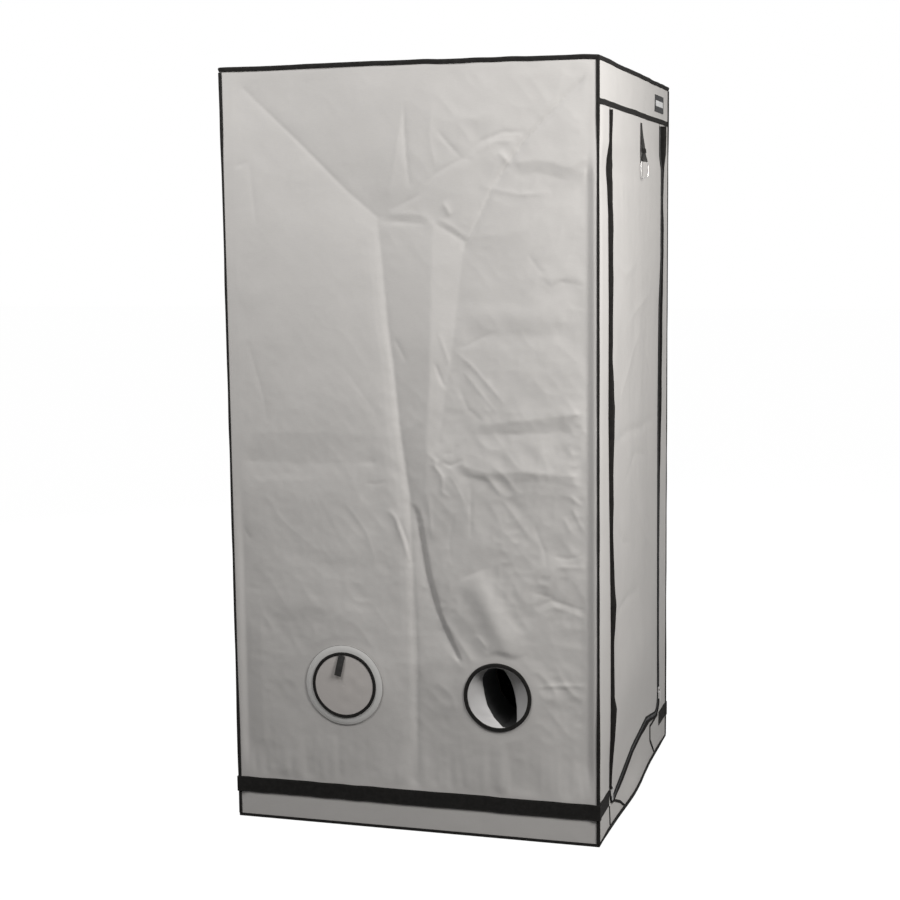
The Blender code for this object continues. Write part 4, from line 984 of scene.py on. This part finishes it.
def tooth_row(path, side, pitch=0.0030):
    """The zip's coil: a short rounded tooth at every pitch along its line."""
    along = distances(path)
    count = int(along[-1] / pitch)
    spots = (np.arange(count) + (0.25 if side > 0 else 0.75)) * pitch
    a = np.interp(spots, along, path[:, 0])
    b = np.interp(spots, along, path[:, 1])
    ahead = np.interp(spots + 0.0005, along, path[:, 0]) - a
    upward = np.interp(spots + 0.0005, along, path[:, 1]) - b
    run = np.maximum(np.hypot(ahead, upward), 1e-9)
    ta, tb = ahead / run, upward / run
    shape = np.array([(s, t, lift) for lift in (0.0020, 0.0030) for s in (0.0002, 0.0034) for t in (-0.0009, 0.0009)])
    shape[4:, 0] = np.clip(shape[4:, 0], 0.0006, 0.0030)
    shape[4:, 1] *= 0.6
    sa = a[:, None] + tb[:, None] * side * shape[None, :, 0] + ta[:, None] * shape[None, :, 1]
    sb = b[:, None] - ta[:, None] * side * shape[None, :, 0] + tb[:, None] * shape[None, :, 1]
    points = skin_front(sa, sb, shape[None, :, 2]).reshape(-1, 3)
    box = np.array([(0, 1, 3, 2), (4, 6, 7, 5), (0, 4, 5, 1), (2, 3, 7, 6), (0, 2, 6, 4), (1, 5, 7, 3)])
    faces = (box[None] + 8 * np.arange(count)[:, None, None]).reshape(-1, 4)
    return points, faces.tolist()


# How far the welts beside the zip stand out, as (place along their line, millimetres)
left_flap = ((0.12, 6), (0.20, 10), (0.253, 13), (0.305, 16), (0.335, 17.5), (0.36, 11), (0.45, 8.5), (0.52, 9),
             (0.614, 14.5), (0.68, 11), (0.80, 9), (0.87, 12), (0.95, 10.5), (1.05, 14), (1.13, 17), (1.20, 12),
             (1.30, 10), (1.40, 10), (1.49, 12), (1.58, 14), (1.645, 12.2), (1.70, 15.5), (1.74, 15), (1.775, 10.5),
             (1.80, 7), (1.83, 7), (1.88, 8.5))
right_flap = ((0.19, 3), (0.33, 2.5), (0.60, 2.5), (0.85, 4), (1.05, 8), (1.36, 9), (1.48, 5), (1.58, 5.5), (1.66, 4),
              (1.735, 5.5), (1.757, 6.5), (1.7835, 12.5), (1.80, 15), (1.85, 17), (1.88, 17))
lower_flap = ((-0.33, 4), (-0.20, 6.5), (-0.05, 5.5), (0.05, 6), (0.162, 10), (0.25, 9), (0.31, 5))


def build_flaps():
    """The black welts that stand out along the zip's two upright runs and its lower line."""
    edge = zip_half + 0.0095
    runs = (
        ("left", [(-edge, zip_left[1] + 0.010), (-edge, zip_top)], left_flap, 1, 16),
        ("right", [(edge, zip_right[1] + 0.010), (edge, zip_top)], right_flap, 1, 18),
        ("lower", lower_edge(0.0066)[3:-3], lower_flap, 0, 23),
    )
    for name, points, heights, axis, seed in runs:
        path = finer(points, 0.010)

        def place(a, b, lift, heights=heights, axis=axis, seed=seed):
            along = (a, b)[axis]
            tall = np.interp(along, *zip(*heights)) / 10.0 * (1.0 + 0.10 * rough(along, along * 0, 0.05, seed))
            lean = 0.10 * rough(along, along * 0, 0.13, seed + 2) * lift * tall
            return skin_front(a + lean * axis, b + lean * (1 - axis), 0.0012 + lift * tall)

        section = [(-0.0009, 0.0), (-0.0008, 0.0050), (-0.0007, 0.0093), (0.0, 0.0100), (0.0007, 0.0093),
                   (0.0008, 0.0050), (0.0009, 0.0)]
        made = band(f"zip_flap_{name}", path, section, place, (binding,), seam=0.0075, wave=0.0003, seed=seed + 10)


def build_zips():
    path = finer(zip_line(0.0), 0.012)
    frame_tape = band("zip_tape_frame", path, zip_section(1), skin_front, (zip_tape,), seam=0.012, wave=0.0)
    stands_for(frame_tape, "black_webbing", "zip_frame_half")
    points, faces = tooth_row(path, 1)
    stands_for(piece("zip_coil_frame", points, faces, (teeth_coat,), sharp=30.0), "black_webbing")
    door_tape = band("zip_tape_door", path, zip_section(-1), skin_front, (zip_tape,), seam=0.012, body=None)
    stands_for(door_tape, "black_webbing", "zip_door_half")
    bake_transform(door_tape)
    points, faces = tooth_row(path, -1)
    coil = piece("zip_coil_door", points, faces, (teeth_coat,), body=None, sharp=30.0)
    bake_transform(coil)


# Bindings, belt and strap
def square_loop(reach, spacing=0.012):
    return finer([(-reach, -reach), (reach, -reach), (reach, reach), (-reach, reach)], spacing, closed=True)


def build_bindings():
    loop = square_loop(half)
    top = height
    low = top - binding_leg
    roof = [(0.0004, low), (0.0014, low + 0.0002), (0.0022, low + 0.0030), (0.0034, top - 0.0010),
            (0.0022, top + 0.0024), (-0.0010, top + 0.0034), (-0.0060, top + 0.0026), (-binding_leg, top + 0.0014),
            (-binding_leg, top + 0.0004), (0.0004, top + 0.0004)]

    def bowed(a, b, level):
        lift = 0.003 * np.clip(1.0 - (2.0 * b) ** 2, 0.0, 1.0) * (a < -0.48)
        return on_plan(a, b, level + lift)

    made = band("roof_binding_tape", loop, roof, bowed, (binding,), closed=True, seam=0.0035, wave=0.0007,
                lift_wave=0.0011, seed=5)
    stands_for(made, "black_webbing", "roof_binding")
    base = [(lift, side) for side, lift in soft_strip(0.0003, 0.0082, 0.0003, 0.0020)]

    def flared(a, b, level):
        front = (b < -0.49) * smooth(np.abs(a), 0.46, 0.38)
        thicker = np.where(b < -half - 0.001, 0.0012 * front, 0.0)
        return on_plan(a, b - thicker - front * sill_flare(a, level), level * (1.0 + 0.35 * front))

    made = band("base_binding_tape", loop, base, flared, (binding,), closed=True, seam=0.004, wave=0.0003, seed=9)
    stands_for(made, "black_webbing", "base_binding")
    rows = np.append(np.arange(0.0085, low - 0.0004, 0.012), low - 0.0004)
    slim = 1.0 - 0.32 * smooth(rows, 1.86, 1.76) * smooth(rows, 0.25, 0.45)
    edge = np.array([(-0.0058, 0.0004), (0.0003, 0.0003), (0.0004, -0.0058), (0.0016, -0.0058), (0.0022, -0.0035),
                     (0.0032, -0.0005), (0.0026, 0.0026), (-0.0005, 0.0036), (-0.0035, 0.0030), (-0.0058, 0.0016)])
    faces = tube(np.arange(len(rows) * len(edge)).reshape(len(rows), -1))
    uvs = stacked(rows[:, None], distances(edge)[None, :] - 0.0160).reshape(-1, 2)
    for side, sy in (("front", -1), ("back", 1)):
        for hand, sx in (("left", -1), ("right", 1)):
            sway = 0.0004 * rough(rows, rows * 0, 0.09, 13 + sx + 3 * sy)
            x, y = (
                sign * (half + edge[None, :, k] * slim[:, None] + sway[:, None] * (edge[None, :, k] > 0.001))
                for k, sign in enumerate((sx, sy))
            )
            points = on_plan(x, y, rows[:, None]).reshape(-1, 3)
            made = piece(f"corner_binding_tape_{side}_{hand}", points, faces, (binding,), uvs, sharp=50.0)
            stands_for(made, "black_webbing", f"corner_binding_{side}_{hand}")
    reach = half - binding_leg - gap
    line = finer([(-reach, header_low + 0.007), (reach, header_low + 0.007)], 0.010)
    section = soft_strip(-0.007, 0.007, 0.0003, 0.0018, bulge=0.0002)
    made = band("header_binding_tape", line, section, skin_front, (binding,), seam=0.0035, wave=0.0012, seed=21)
    stands_for(made, "black_webbing", "header_binding")


def belt_line():
    """The belt's inner face in plan, lifted over the corner bindings."""
    close, lifted, flat = gap, 0.0030, 0.0093
    end = zip_half + 0.018 + gap
    points = [(end, -half - close)]
    for index, (sx, sy) in enumerate(((1, -1), (1, 1), (-1, 1), (-1, -1))):
        arriving_on_x = index % 2 == 0
        for arriving in (True, False):
            steps = ((flat + 0.015, close), (flat, lifted))
            for inset, out in steps if arriving else reversed(steps):
                if arriving == arriving_on_x:
                    points.append((sx * (half - inset), sy * (half + out)))
                else:
                    points.append((sx * (half + out), sy * (half - inset)))
            if arriving:
                points.append((sx * (half + lifted), sy * (half + lifted)))
    points.append((-end, -half - close))
    return points


def build_belt():
    middle = (belt_low + belt_high) / 2
    rise = (belt_high - belt_low) / 2
    section = [(lift, middle + side) for side, lift in soft_strip(-rise, rise, 0.0, belt_thick + 0.0004)]
    path = finer(belt_line(), 0.012)
    made = band("belt_webbing", path, section, on_plan, (webbing,), seam=rise, wave=0.0, lift_wave=0.0009, seed=25)
    stands_for(made, "black_webbing", "base_belt")


def turned_strip(name, spots, half_width, thick, coats, body):
    """A flat strip along a line of (x, out, z, turn in degrees), its width turned about the upright."""
    spots = np.asarray(spots, float)
    turn = np.radians(spots[:, 3])
    wide = stacked(np.cos(turn), -np.sin(turn), 0.0)
    facing = stacked(-np.sin(turn), -np.cos(turn), 0.0)
    centre = on_front(spots[:, 0], spots[:, 2], spots[:, 1])
    outline = [(-1, -0.5), (-0.5, -0.62), (0, -0.5), (0.5, -0.62), (1, -0.5), (1, 0.5), (0.5, 0.62), (0, 0.5),
               (-0.5, 0.62), (-1, 0.5)]
    points = np.stack([centre + wide * (w * half_width) + facing * (t * thick) for w, t in outline], axis=1)
    faces = tube(np.arange(len(spots) * len(outline)).reshape(len(spots), -1))
    across = np.array([w * half_width for w, _ in outline])
    uvs = stacked(distances(centre)[:, None], across[None, :]).reshape(-1, 2)
    return piece(name, points.reshape(-1, 3), faces, coats, uvs, body=body)


def build_strap():
    """The tie strap: sewn flat at its top, turned at its end, where it folds round the ring's bar."""
    place, top, bar = 0.062, 1.8717, 1.7685
    first_turn, end_turn = 10.0, 38.0
    half_width, thick = 0.0098, 0.0012
    loop_out, loop_radius = 0.0100, 0.0027
    ring_half, ring_tall, ring_out, wire, squareness = 0.0136, 0.0236, 0.0102, 0.0016, 3.2

    def turned(share):
        return first_turn * smooth(share, 0.0, 0.6) + (end_turn - first_turn) * smooth(share, 0.78, 1.0)

    def stand_off(share):
        return 0.0013 + 0.0087 * share**1.3

    shares = np.linspace(0.0, 1.0, 25)
    ply = [(place, stand_off(share), top + (bar - top) * share, turned(share)) for share in shares]
    turn = math.radians(end_turn)
    facing = np.array([-math.sin(turn), math.cos(turn)])
    for t in np.linspace(0.0, math.pi / 2, 6)[1:]:
        spot = np.array([place, loop_out]) + facing * loop_radius * math.sin(t)
        ply.append((*spot, bar - loop_radius * (1.0 - math.cos(t)), end_turn))
    made = turned_strip("strap_inner_ply", ply, half_width, thick, (strap_web,), "tie_strap")
    stands_for(made, "black_webbing", "tie_strap")
    outer = []
    for share in shares:
        level = top - 0.010 + (bar - top + 0.010) * share
        bulge = 0.0017 + 0.0022 * math.sin(math.pi * share) ** 2 * share
        away = math.radians(turned(share))
        out = np.array([-math.sin(away), math.cos(away)])
        spot = np.array([place, stand_off(share)]) + out * bulge * (0.4 + 0.6 * share)
        outer.append((*spot, level, turned(share)))
    turned_strip("strap_outer_ply", outer, half_width, thick, (strap_web,), "tie_strap")
    keeper = [(place - 0.0004 * k, 0.0081 + 0.0005 * k, 1.802 - 0.004 * k, turned(0.68 + 0.04 * k)) for k in range(4)]
    turned_strip("strap_keeper", keeper, 0.0104, 0.0054, (binding,), "tie_strap")

    outline = []
    for t in np.linspace(0.0, math.tau, 97)[:-1]:
        reach = 1.0 / (abs(math.cos(t)) ** squareness + abs(math.sin(t)) ** squareness) ** (1 / squareness)
        outline.append((ring_half * math.cos(t) * reach, ring_tall * math.sin(t) * reach))
    outline = np.array(outline)
    ahead = np.roll(outline, -1, axis=0) - np.roll(outline, 1, axis=0)
    ahead /= np.linalg.norm(ahead, axis=1, keepdims=True)
    wide = np.array([math.cos(turn), -math.sin(turn), 0.0])
    facing = np.array([-math.sin(turn), -math.cos(turn), 0.0])
    up = np.array([0.0, 0.0, 1.0])
    centre = np.array([place, -half - ring_out, bar - ring_tall])
    points = []
    for (a, b), (da, db) in zip(outline, ahead):
        side = wide * db - up * da
        for t in np.linspace(0.0, math.tau, 13)[:-1]:
            points.append(centre + wide * a + up * b + (side * math.cos(t) + facing * math.sin(t)) * wire)
    faces = tube(np.arange(len(points)).reshape(-1, 12), closed=True)
    made = piece("tie_ring_bright", points, faces, (ring_metal,), body="tie_ring")
    stands_for(made, "ring_metal", "tie_ring")


# Ports
def hem_profile(outer, inner, low, high):
    """A bound hem seen from the side: rounded over, pressed flat in the middle."""
    mid = (outer + inner) / 2
    return [(outer, low), (outer + 0.0002, (low + high) / 2), (outer - 0.0009, high - 0.0002), (mid, high + 0.0002),
            (inner + 0.0009, high - 0.0002), (inner - 0.0002, (low + high) / 2), (inner, low)]


# The sleeve's mouth as seen, in millimetres: height, its left lip's edge, its right lip's edge
mouth_shape = (
    (-80, -14, -38), (-70, -4, -50), (-56, 10, -53), (-23, 29, -53), (5, 36, -49), (30, 40, -43), (49, 42, -36),
    (64, 36, -27), (76, 24, -18), (80, 10, -6),
)


def build_intake():
    """The open intake: a bound hem, and a sleeve whose lips close to a leaf-shaped mouth. Past the lips the sleeve is
    coloured near black: painted shade for the dark inside of the tent.
    """
    made = port("intake_hem", hem_profile(0.091, 0.081, 0.0003, 0.0032), intake, on_left, (binding,),
                ripple=0.0005, seam=0.0045)
    stands_for(made, "black_webbing", "intake_ring")
    count = 192
    turns = np.arange(count) / count * math.tau
    shape = np.array(mouth_shape, float) / 1000
    rise = np.sin(turns)
    tall = np.interp(rise, np.linspace(-1.0, 1.0, len(shape)), shape[:, 0])
    left_lip, right_lip = (np.interp(tall, shape[:, 0], shape[:, k]) for k in (1, 2))
    edge = np.where(np.cos(turns) > 0, left_lip, right_lip)
    deep = 0.014 + 0.040 * (rise + 1.0) / 2
    mouth_a = edge + 0.27 * deep
    mouth_b = tall - 0.273 * deep
    ring_a = (intake_hole - gap) * np.cos(turns)
    ring_b = (intake_hole - gap) * np.sin(turns)
    rows = []
    lips = (0.0, 0.12, 0.25, 0.4, 0.55, 0.7, 0.85, 0.95, 1.0)
    first = smooth(0.0, -0.15, 1.0)
    for share in lips:
        pull = (smooth(share, -0.15, 1.0) - first) / (1.0 - first)
        ripple = 0.0016 * math.sin(math.pi * share) * np.sin(turns * 7 + 2 * share)
        a = ring_a * (1 - pull) + mouth_a * pull + ripple
        b = ring_b * (1 - pull) + mouth_b * pull
        rows.append((a, b, deep * share))
    for share in (0.04, 0.2, 0.45, 0.7, 1.0):
        a = mouth_a * (1 - 0.10 * share) - 0.004 * share + 0.0012 * np.sin(turns * 15) * share
        b = mouth_b * (1 - 0.12 * share)
        rows.append((a, b, deep + (0.150 - deep) * share))
    points = np.concatenate([
        on_left(intake[0] + a * (1 - inset / 0.06), intake[1] + b * (1 - inset / 0.08), -depth)
        for inset in (0.0, 0.0010) for a, b, depth in rows
    ])
    faces = two_skins(np.arange(len(rows) * count).reshape(len(rows), count)).tolist()
    # Rows past the lips take the near-black coat: painted shade for the dark inside of the tent
    dark = np.zeros((len(rows) - 1, count))
    dark[len(lips) - 1:] = 1
    slots = np.concatenate([dark.ravel(), dark.ravel(), np.zeros(count), np.ones(count)])
    lengths = np.array([depth.mean() for _, _, depth in rows])
    uv = stacked((turns * intake_hole)[None, :], lengths[:, None]).reshape(-1, 2)
    coats = (sleeve_cloth, sleeve_painted_shade)
    made = piece("intake_sleeve_cloth", points, faces, coats, np.concatenate([uv, uv]), slots)
    stands_for(made, "sleeve_cloth", "intake_sleeve")


def build_exhaust():
    made = port("exhaust_hem", hem_profile(0.112, 0.100, 0.0003, 0.0030), exhaust, on_back, (binding,),
                ripple=0.0004, seam=0.0045)
    stands_for(made, "black_webbing", "exhaust_ring")
    count, rows = 128, 15
    radius = exhaust_hole - gap
    turns = np.arange(count) / count * math.tau
    lengths = np.linspace(0.0, 1.0, rows)
    rings = []
    for inset in (0.0, 0.0011):
        for length in lengths:
            fold = 0.010 * length * (0.5 - 0.5 * np.cos(turns * 11 + 3 * length)) + 0.006 * length
            reach = radius - inset - fold
            a = exhaust[0] + reach * np.cos(turns)
            b = exhaust[1] + reach * np.sin(turns) - 0.012 * length**2
            rings.append(on_back(a, b, -0.160 * length))
    points = np.concatenate(rings)
    faces = two_skins(np.arange(rows * count).reshape(rows, count)).tolist()
    side = (rows - 1) * count
    slots = np.concatenate([np.zeros(side), np.ones(side), np.zeros(2 * count)])
    uv = stacked((turns * radius)[None, :], (lengths * 0.16)[:, None]).reshape(-1, 2)
    coats = (silver, sleeve_cloth)
    made = piece("exhaust_sleeve_cloth", points, faces, coats, np.concatenate([uv, uv]), slots)
    stands_for(made, "sleeve_cloth", "exhaust_sleeve")


def disc(name, centre, radius, back, thick, dish, coats, body, rings=26, count=96, seed=41):
    """A round cloth piece of two skins, gently dished."""
    reach = np.linspace(0.0, 1.0, rings + 1)[1:] * radius
    turns = np.arange(count) / count * math.tau
    a = reach[:, None] * np.cos(turns)
    b = reach[:, None] * np.sin(turns)
    share = reach[:, None] / radius
    level = np.maximum(dish * (1 - share**2) + 0.0004 * rough(a, b, 0.024, seed) * (1 - share**4), 0.0)
    outer = on_left(centre[0] + a, centre[1] + b, back + thick + level).reshape(-1, 3)
    inner = on_left(centre[0] + a, centre[1] + b, back + level).reshape(-1, 3)
    tips = on_left(*centre, np.array([back + thick, back]) + dish)
    total = rings * count
    faces = two_skins(np.arange(total).reshape(rings, count), ends=(-1,)).tolist()
    for skin, tip in ((0, 2 * total), (total, 2 * total + 1)):
        faces += [[k + skin, (k + 1) % count + skin, tip] for k in range(count)]
    uv = np.stack([a, b], axis=-1).reshape(-1, 2)
    uvs = np.concatenate([uv, uv, [(0.0, 0.0), (0.0, 0.0)]])
    return piece(name, np.concatenate([outer, inner, tips]), faces, coats, uvs, None, body)


def build_vent():
    profile = [(patch_radius, 0.0003), (patch_radius, 0.0013), (0.1072, 0.0017), (0.092, 0.0016), (vent_bore, 0.0015),
               (vent_bore, 0.0003)]
    made = port("vent_patch_cloth", profile, vent, on_left, (patch_cloth,), ripple=0.0003)
    stands_for(made, "patch_cloth", "vent_patch")
    profile = [(0.1083, 0.0005), (0.1083, 0.0019), (0.1077, 0.0020), (0.1073, 0.0016)]
    made = port("vent_patch_seam", profile, vent, on_left, (seam_thread,), ripple=0.0003)
    back = 0.0018
    made = disc("vent_cover_cloth", vent, cover_radius, back + 0.0002, cloth, 0.0012, (cover_cloth,),
                "vent_cover")
    stands_for(made, "cover_cloth", "vent_cover")
    profile = hem_profile(0.089, 0.0805, back, 0.0044)
    made = port("vent_cover_binding", profile, vent, on_left, (binding,), ripple=0.0004, seam=0.0045,
                body="vent_cover")
    rows, half_width, length = 14, 0.0092, 0.056
    tilt = math.radians(12.0)
    top = (vent[0] + 0.004, vent[1] + 0.0805)
    places = []
    for k in range(rows + 1):
        along = length * k / rows
        lift = 0.0042 + 0.0020 * math.sin(math.pi * k / rows) + 0.0050 * (k / rows) ** 2
        for s in (-half_width, half_width):
            a = s * math.cos(tilt) + along * math.sin(tilt)
            b = s * math.sin(tilt) - along * math.cos(tilt)
            places.append((top[0] + a, top[1] + b, lift))
    spots = np.array(places)
    outer = on_left(spots[:, 0], spots[:, 1], spots[:, 2] + 0.0010)
    inner = on_left(spots[:, 0], spots[:, 1], spots[:, 2])
    total = len(spots)
    index = np.arange(total).reshape(-1, 2)
    quads = np.stack([index[:-1, 0], index[:-1, 1], index[1:, 1], index[1:, 0]], axis=-1)
    edge = rim(np.concatenate([index[:, 0], index[::-1, 1]]), total)
    faces = np.concatenate([quads, quads[:, ::-1] + total, edge]).tolist()
    uv = np.array([(length * (k // 2) / rows, (-1) ** (k + 1) * half_width) for k in range(total)])
    points = np.concatenate([outer, inner])
    made = piece("vent_tab_strip", points, faces, (strap_web,), np.concatenate([uv, uv]), body=None)
    stands_for(made, "black_webbing", "vent_tab")
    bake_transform(made)
    build_net()


def build_net():
    """The net behind the vent's cover, stretched over the patch's bore."""
    reach, pitch, thick = 0.068, 0.0030, 0.00022
    points, faces = [], []
    for turn in (0, 1):
        for place in np.arange(-reach + pitch, reach, pitch):
            span = math.sqrt(reach**2 - place**2)
            level = 0.00020 + 0.00005 * turn
            corners = [(-span, -thick), (span, -thick), (span, thick), (-span, thick)]
            start = len(points)
            for out in (level, level + 0.0002):
                for a, b in corners:
                    p = (a, b + place) if turn else (b + place, a)
                    points.append((-half - out, vent[0] + p[0], vent[1] + p[1]))
            box = ((0, 1, 2, 3), (4, 7, 6, 5), (0, 4, 5, 1), (1, 5, 6, 2), (2, 6, 7, 3), (3, 7, 4, 0))
            faces += [[start + k for k in face] for face in box]
    uvs = [(p[1], p[2]) for p in points]
    piece("vent_net", points, faces, (net_thread,), uvs)


# Tray, label and corner patches
def build_tray():
    """The loose spill tray: a soft floor and four low walls with a folded rim."""
    edge, corner, low, top = 0.4780, 0.020, 0.0018, 0.1005
    middle = edge - corner
    path = []
    for sx, sy, start in ((1, 1, 0.0), (-1, 1, 0.5), (-1, -1, 1.0), (1, -1, 1.5)):
        path.extend(arc_points((sx * middle, sy * middle), corner, start * math.pi, (start + 0.5) * math.pi, 8))
    path = finer(path, 0.020, closed=True)[::-1]
    along = distances(path)
    turns = along / along[-1] * math.tau
    rise = 0.0012 * np.sin(turns * 13) + 0.0010 * rough(along, along * 0, 0.11, 61)
    levels = [low, low + 0.006, low + 0.03, low + 0.06, top - 0.012, top - 0.011, top]
    lean = [0.006, 0.0012, 0.0022, 0.0030, 0.0022, 0.0006, 0.0006]
    rings = []
    for level, inward in zip(levels, lean):
        wave = rise * (level - low) / (top - low)
        inset = inward + np.abs(0.0015 * rough(along, along * 0 + level, 0.10, 63)) * (level > 0.01) * (level < 0.085)
        rings.append(on_plan(*path.T * (1 - inset / edge), level + wave - 0.0015 * (level > low)))
    outer = np.array(rings)
    inner = outer.copy()
    inner[:, :, :2] *= 1 - 0.0013 / edge
    faces = two_skins(np.arange(len(levels) * len(path)).reshape(len(levels), -1)).tolist()
    flat_uv = stacked(along[None, :], np.array(levels)[:, None]).reshape(-1, 2)
    points = np.concatenate([outer.reshape(-1, 3), inner.reshape(-1, 3)])
    made = piece("tray_walls", points, faces, (tray_coat,), np.concatenate([flat_uv, flat_uv]))
    across, up = grid(-0.470, 0.470, -0.470, 0.470, 90, 90)
    wave = 0.0012 * (1 + rough(across, up, 0.12, 65)) + 0.0006 * (1 + rough(across, up, 0.045, 66))
    wave = wave * smooth(np.maximum(np.abs(across), np.abs(up)), 0.470, 0.430)
    made = panel("tray_floor", across, up, 0.0030 + wave, on_plan, (tray_coat,))
    stands_for(made, "tray_cloth", "spill_tray")


def build_label():
    """A bare sewn patch on the header: a dark ground with one pale bar."""
    def slab(name, low, high, back, front, coat, columns):
        across, up = grid(low[0], high[0], low[1], high[1], columns, 4)
        out = front - front_depth(across, up)
        made = panel(name, across, up, out, on_front, (coat,), thick=front - back)
        return made

    slab("label_ground", (0.278, 1.918), (0.416, 1.966), -0.0006, 0.0012, label_dark, 16)
    slab("label_bar", (0.289, 1.934), (0.405, 1.950), 0.0010, 0.0015, label_pale, 14)


def piping(name, points, width, seed, body="root", spacing=0.006):
    """A narrow black piping along a line of the front."""
    path = finer(points, spacing)
    section = soft_strip(-width / 2, width / 2, 0.0003, 0.0022, soft=0.0007, bulge=0.0003)
    made = band(name, path, section, skin_front, (binding,), seam=width / 2, wave=0.0004, seed=seed, body=body)
    return made


def build_corner_patches():
    """Black-piped reinforcing patches at the sill's two ends."""
    piping("sill_piping_left", ((-0.372, 0.066), (-0.366, 0.014)), 0.007, 3)
    piping("sill_piping_slant", ((-0.318, 0.066), (-0.241, 0.036), (-0.199, 0.012)), 0.007, 4)
    piping("sill_piping_right", ((0.352, 0.112), (0.229, 0.110), (0.229, 0.068), (0.290, 0.016)), 0.007, 5)


# Finishes of what the frame keeps
def finish_frame():
    coats = {"corner": plastic, "rail": steel, "post": steel, "bar": steel, "slider": zip_metal, "pull": zip_metal,
             "tie_ring": ring_metal}
    for name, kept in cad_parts.items():
        if kept.hide_render:
            continue
        for key, coat in coats.items():
            if key in name:
                kept.data.materials.clear()
                kept.data.materials.append(coat)


# Floor and light
def aim(lamp, target):
    lamp.rotation_euler = (Vector(target) - lamp.location).to_track_quat("-Z", "Y").to_euler()


def area_light(name, place, target, size, power, colour=(1.0, 1.0, 1.0)):
    lamp = bpy.data.lights.new(name, "AREA")
    lamp.shape = "DISK"
    lamp.size = size
    lamp.energy = power
    lamp.color = colour
    made = bpy.data.objects.new(name, lamp)
    made.location = place
    bpy.context.scene.collection.objects.link(made)
    aim(made, target)
    return made


def seen_directly(tree):
    """1 where a camera, mirror or glass ray asks, 0 for the light on the object."""
    path = add_node(tree, "ShaderNodeLightPath")
    total = path.outputs["Is Camera Ray"]
    for key in ("Is Glossy Ray", "Is Transmission Ray"):
        total = add_node(tree, "ShaderNodeMath", {0: total, 1: path.outputs[key]}, operation="MAXIMUM").outputs[0]
    return total


def build_stage():
    mesh = bpy.data.meshes.new("floor")
    mesh.from_pydata([(-30, -30, 0), (30, -30, 0), (30, 30, 0), (-30, 30, 0)], [], [(0, 1, 2, 3)])
    floor = bpy.data.objects.new("floor", mesh)
    floor.location.z = -0.0008
    bpy.context.scene.collection.objects.link(floor)
    coat = Coat("studio_floor", (0.06, 0.06, 0.06), 0.9, specular=0.0)
    plain = coat.shader.outputs[0]
    glow = coat.node("ShaderNodeEmission", {"Color": (1.0, 1.0, 1.0, 1.0), "Strength": floor_glow})
    pale = coat.node("ShaderNodeAddShader", {0: glow.outputs[0], 1: plain})
    pick = coat.node("ShaderNodeMixShader", {0: seen_directly(coat.tree), 1: plain, 2: pale.outputs[0]})
    coat.tree.links.new(pick.outputs[0], coat.tree.nodes["Material Output"].inputs["Surface"])
    floor.data.materials.append(coat.material)

    world = bpy.data.worlds.new("studio")
    bpy.context.scene.world = world
    world.use_nodes = True
    tree = world.node_tree
    levels = {"Factor": seen_directly(tree), "A": world_fill, "B": 1.0}
    strength = add_node(tree, "ShaderNodeMix", levels, data_type="FLOAT")
    back = tree.nodes["Background"]
    back.inputs["Color"].default_value = (1.0, 1.0, 1.0, 1.0)
    tree.links.new(strength.outputs["Result"], back.inputs["Strength"])

    area_light("key", (-1.4, -2.2, 2.2), (-0.4, -0.2, 1.3), 1.0, 62.5, (1.0, 0.99, 0.975))
    area_light("overhead", (-1.9, 1.2, 3.8), (-0.4, -0.2, 1.3), 1.4, 66.0)
    area_light("far_side", (2.9, 2.6, 2.8), (0.3, 0.3, 1.0), 1.6, 120.0)

    bpy.context.scene.view_settings.view_transform = "Standard"


build_walls()
build_roof_and_floor()
build_front()
build_door()
build_zips()
build_flaps()
build_bindings()
build_belt()
build_strap()
build_intake()
build_exhaust()
build_vent()
build_tray()
build_label()
build_corner_patches()
finish_frame()
build_stage()
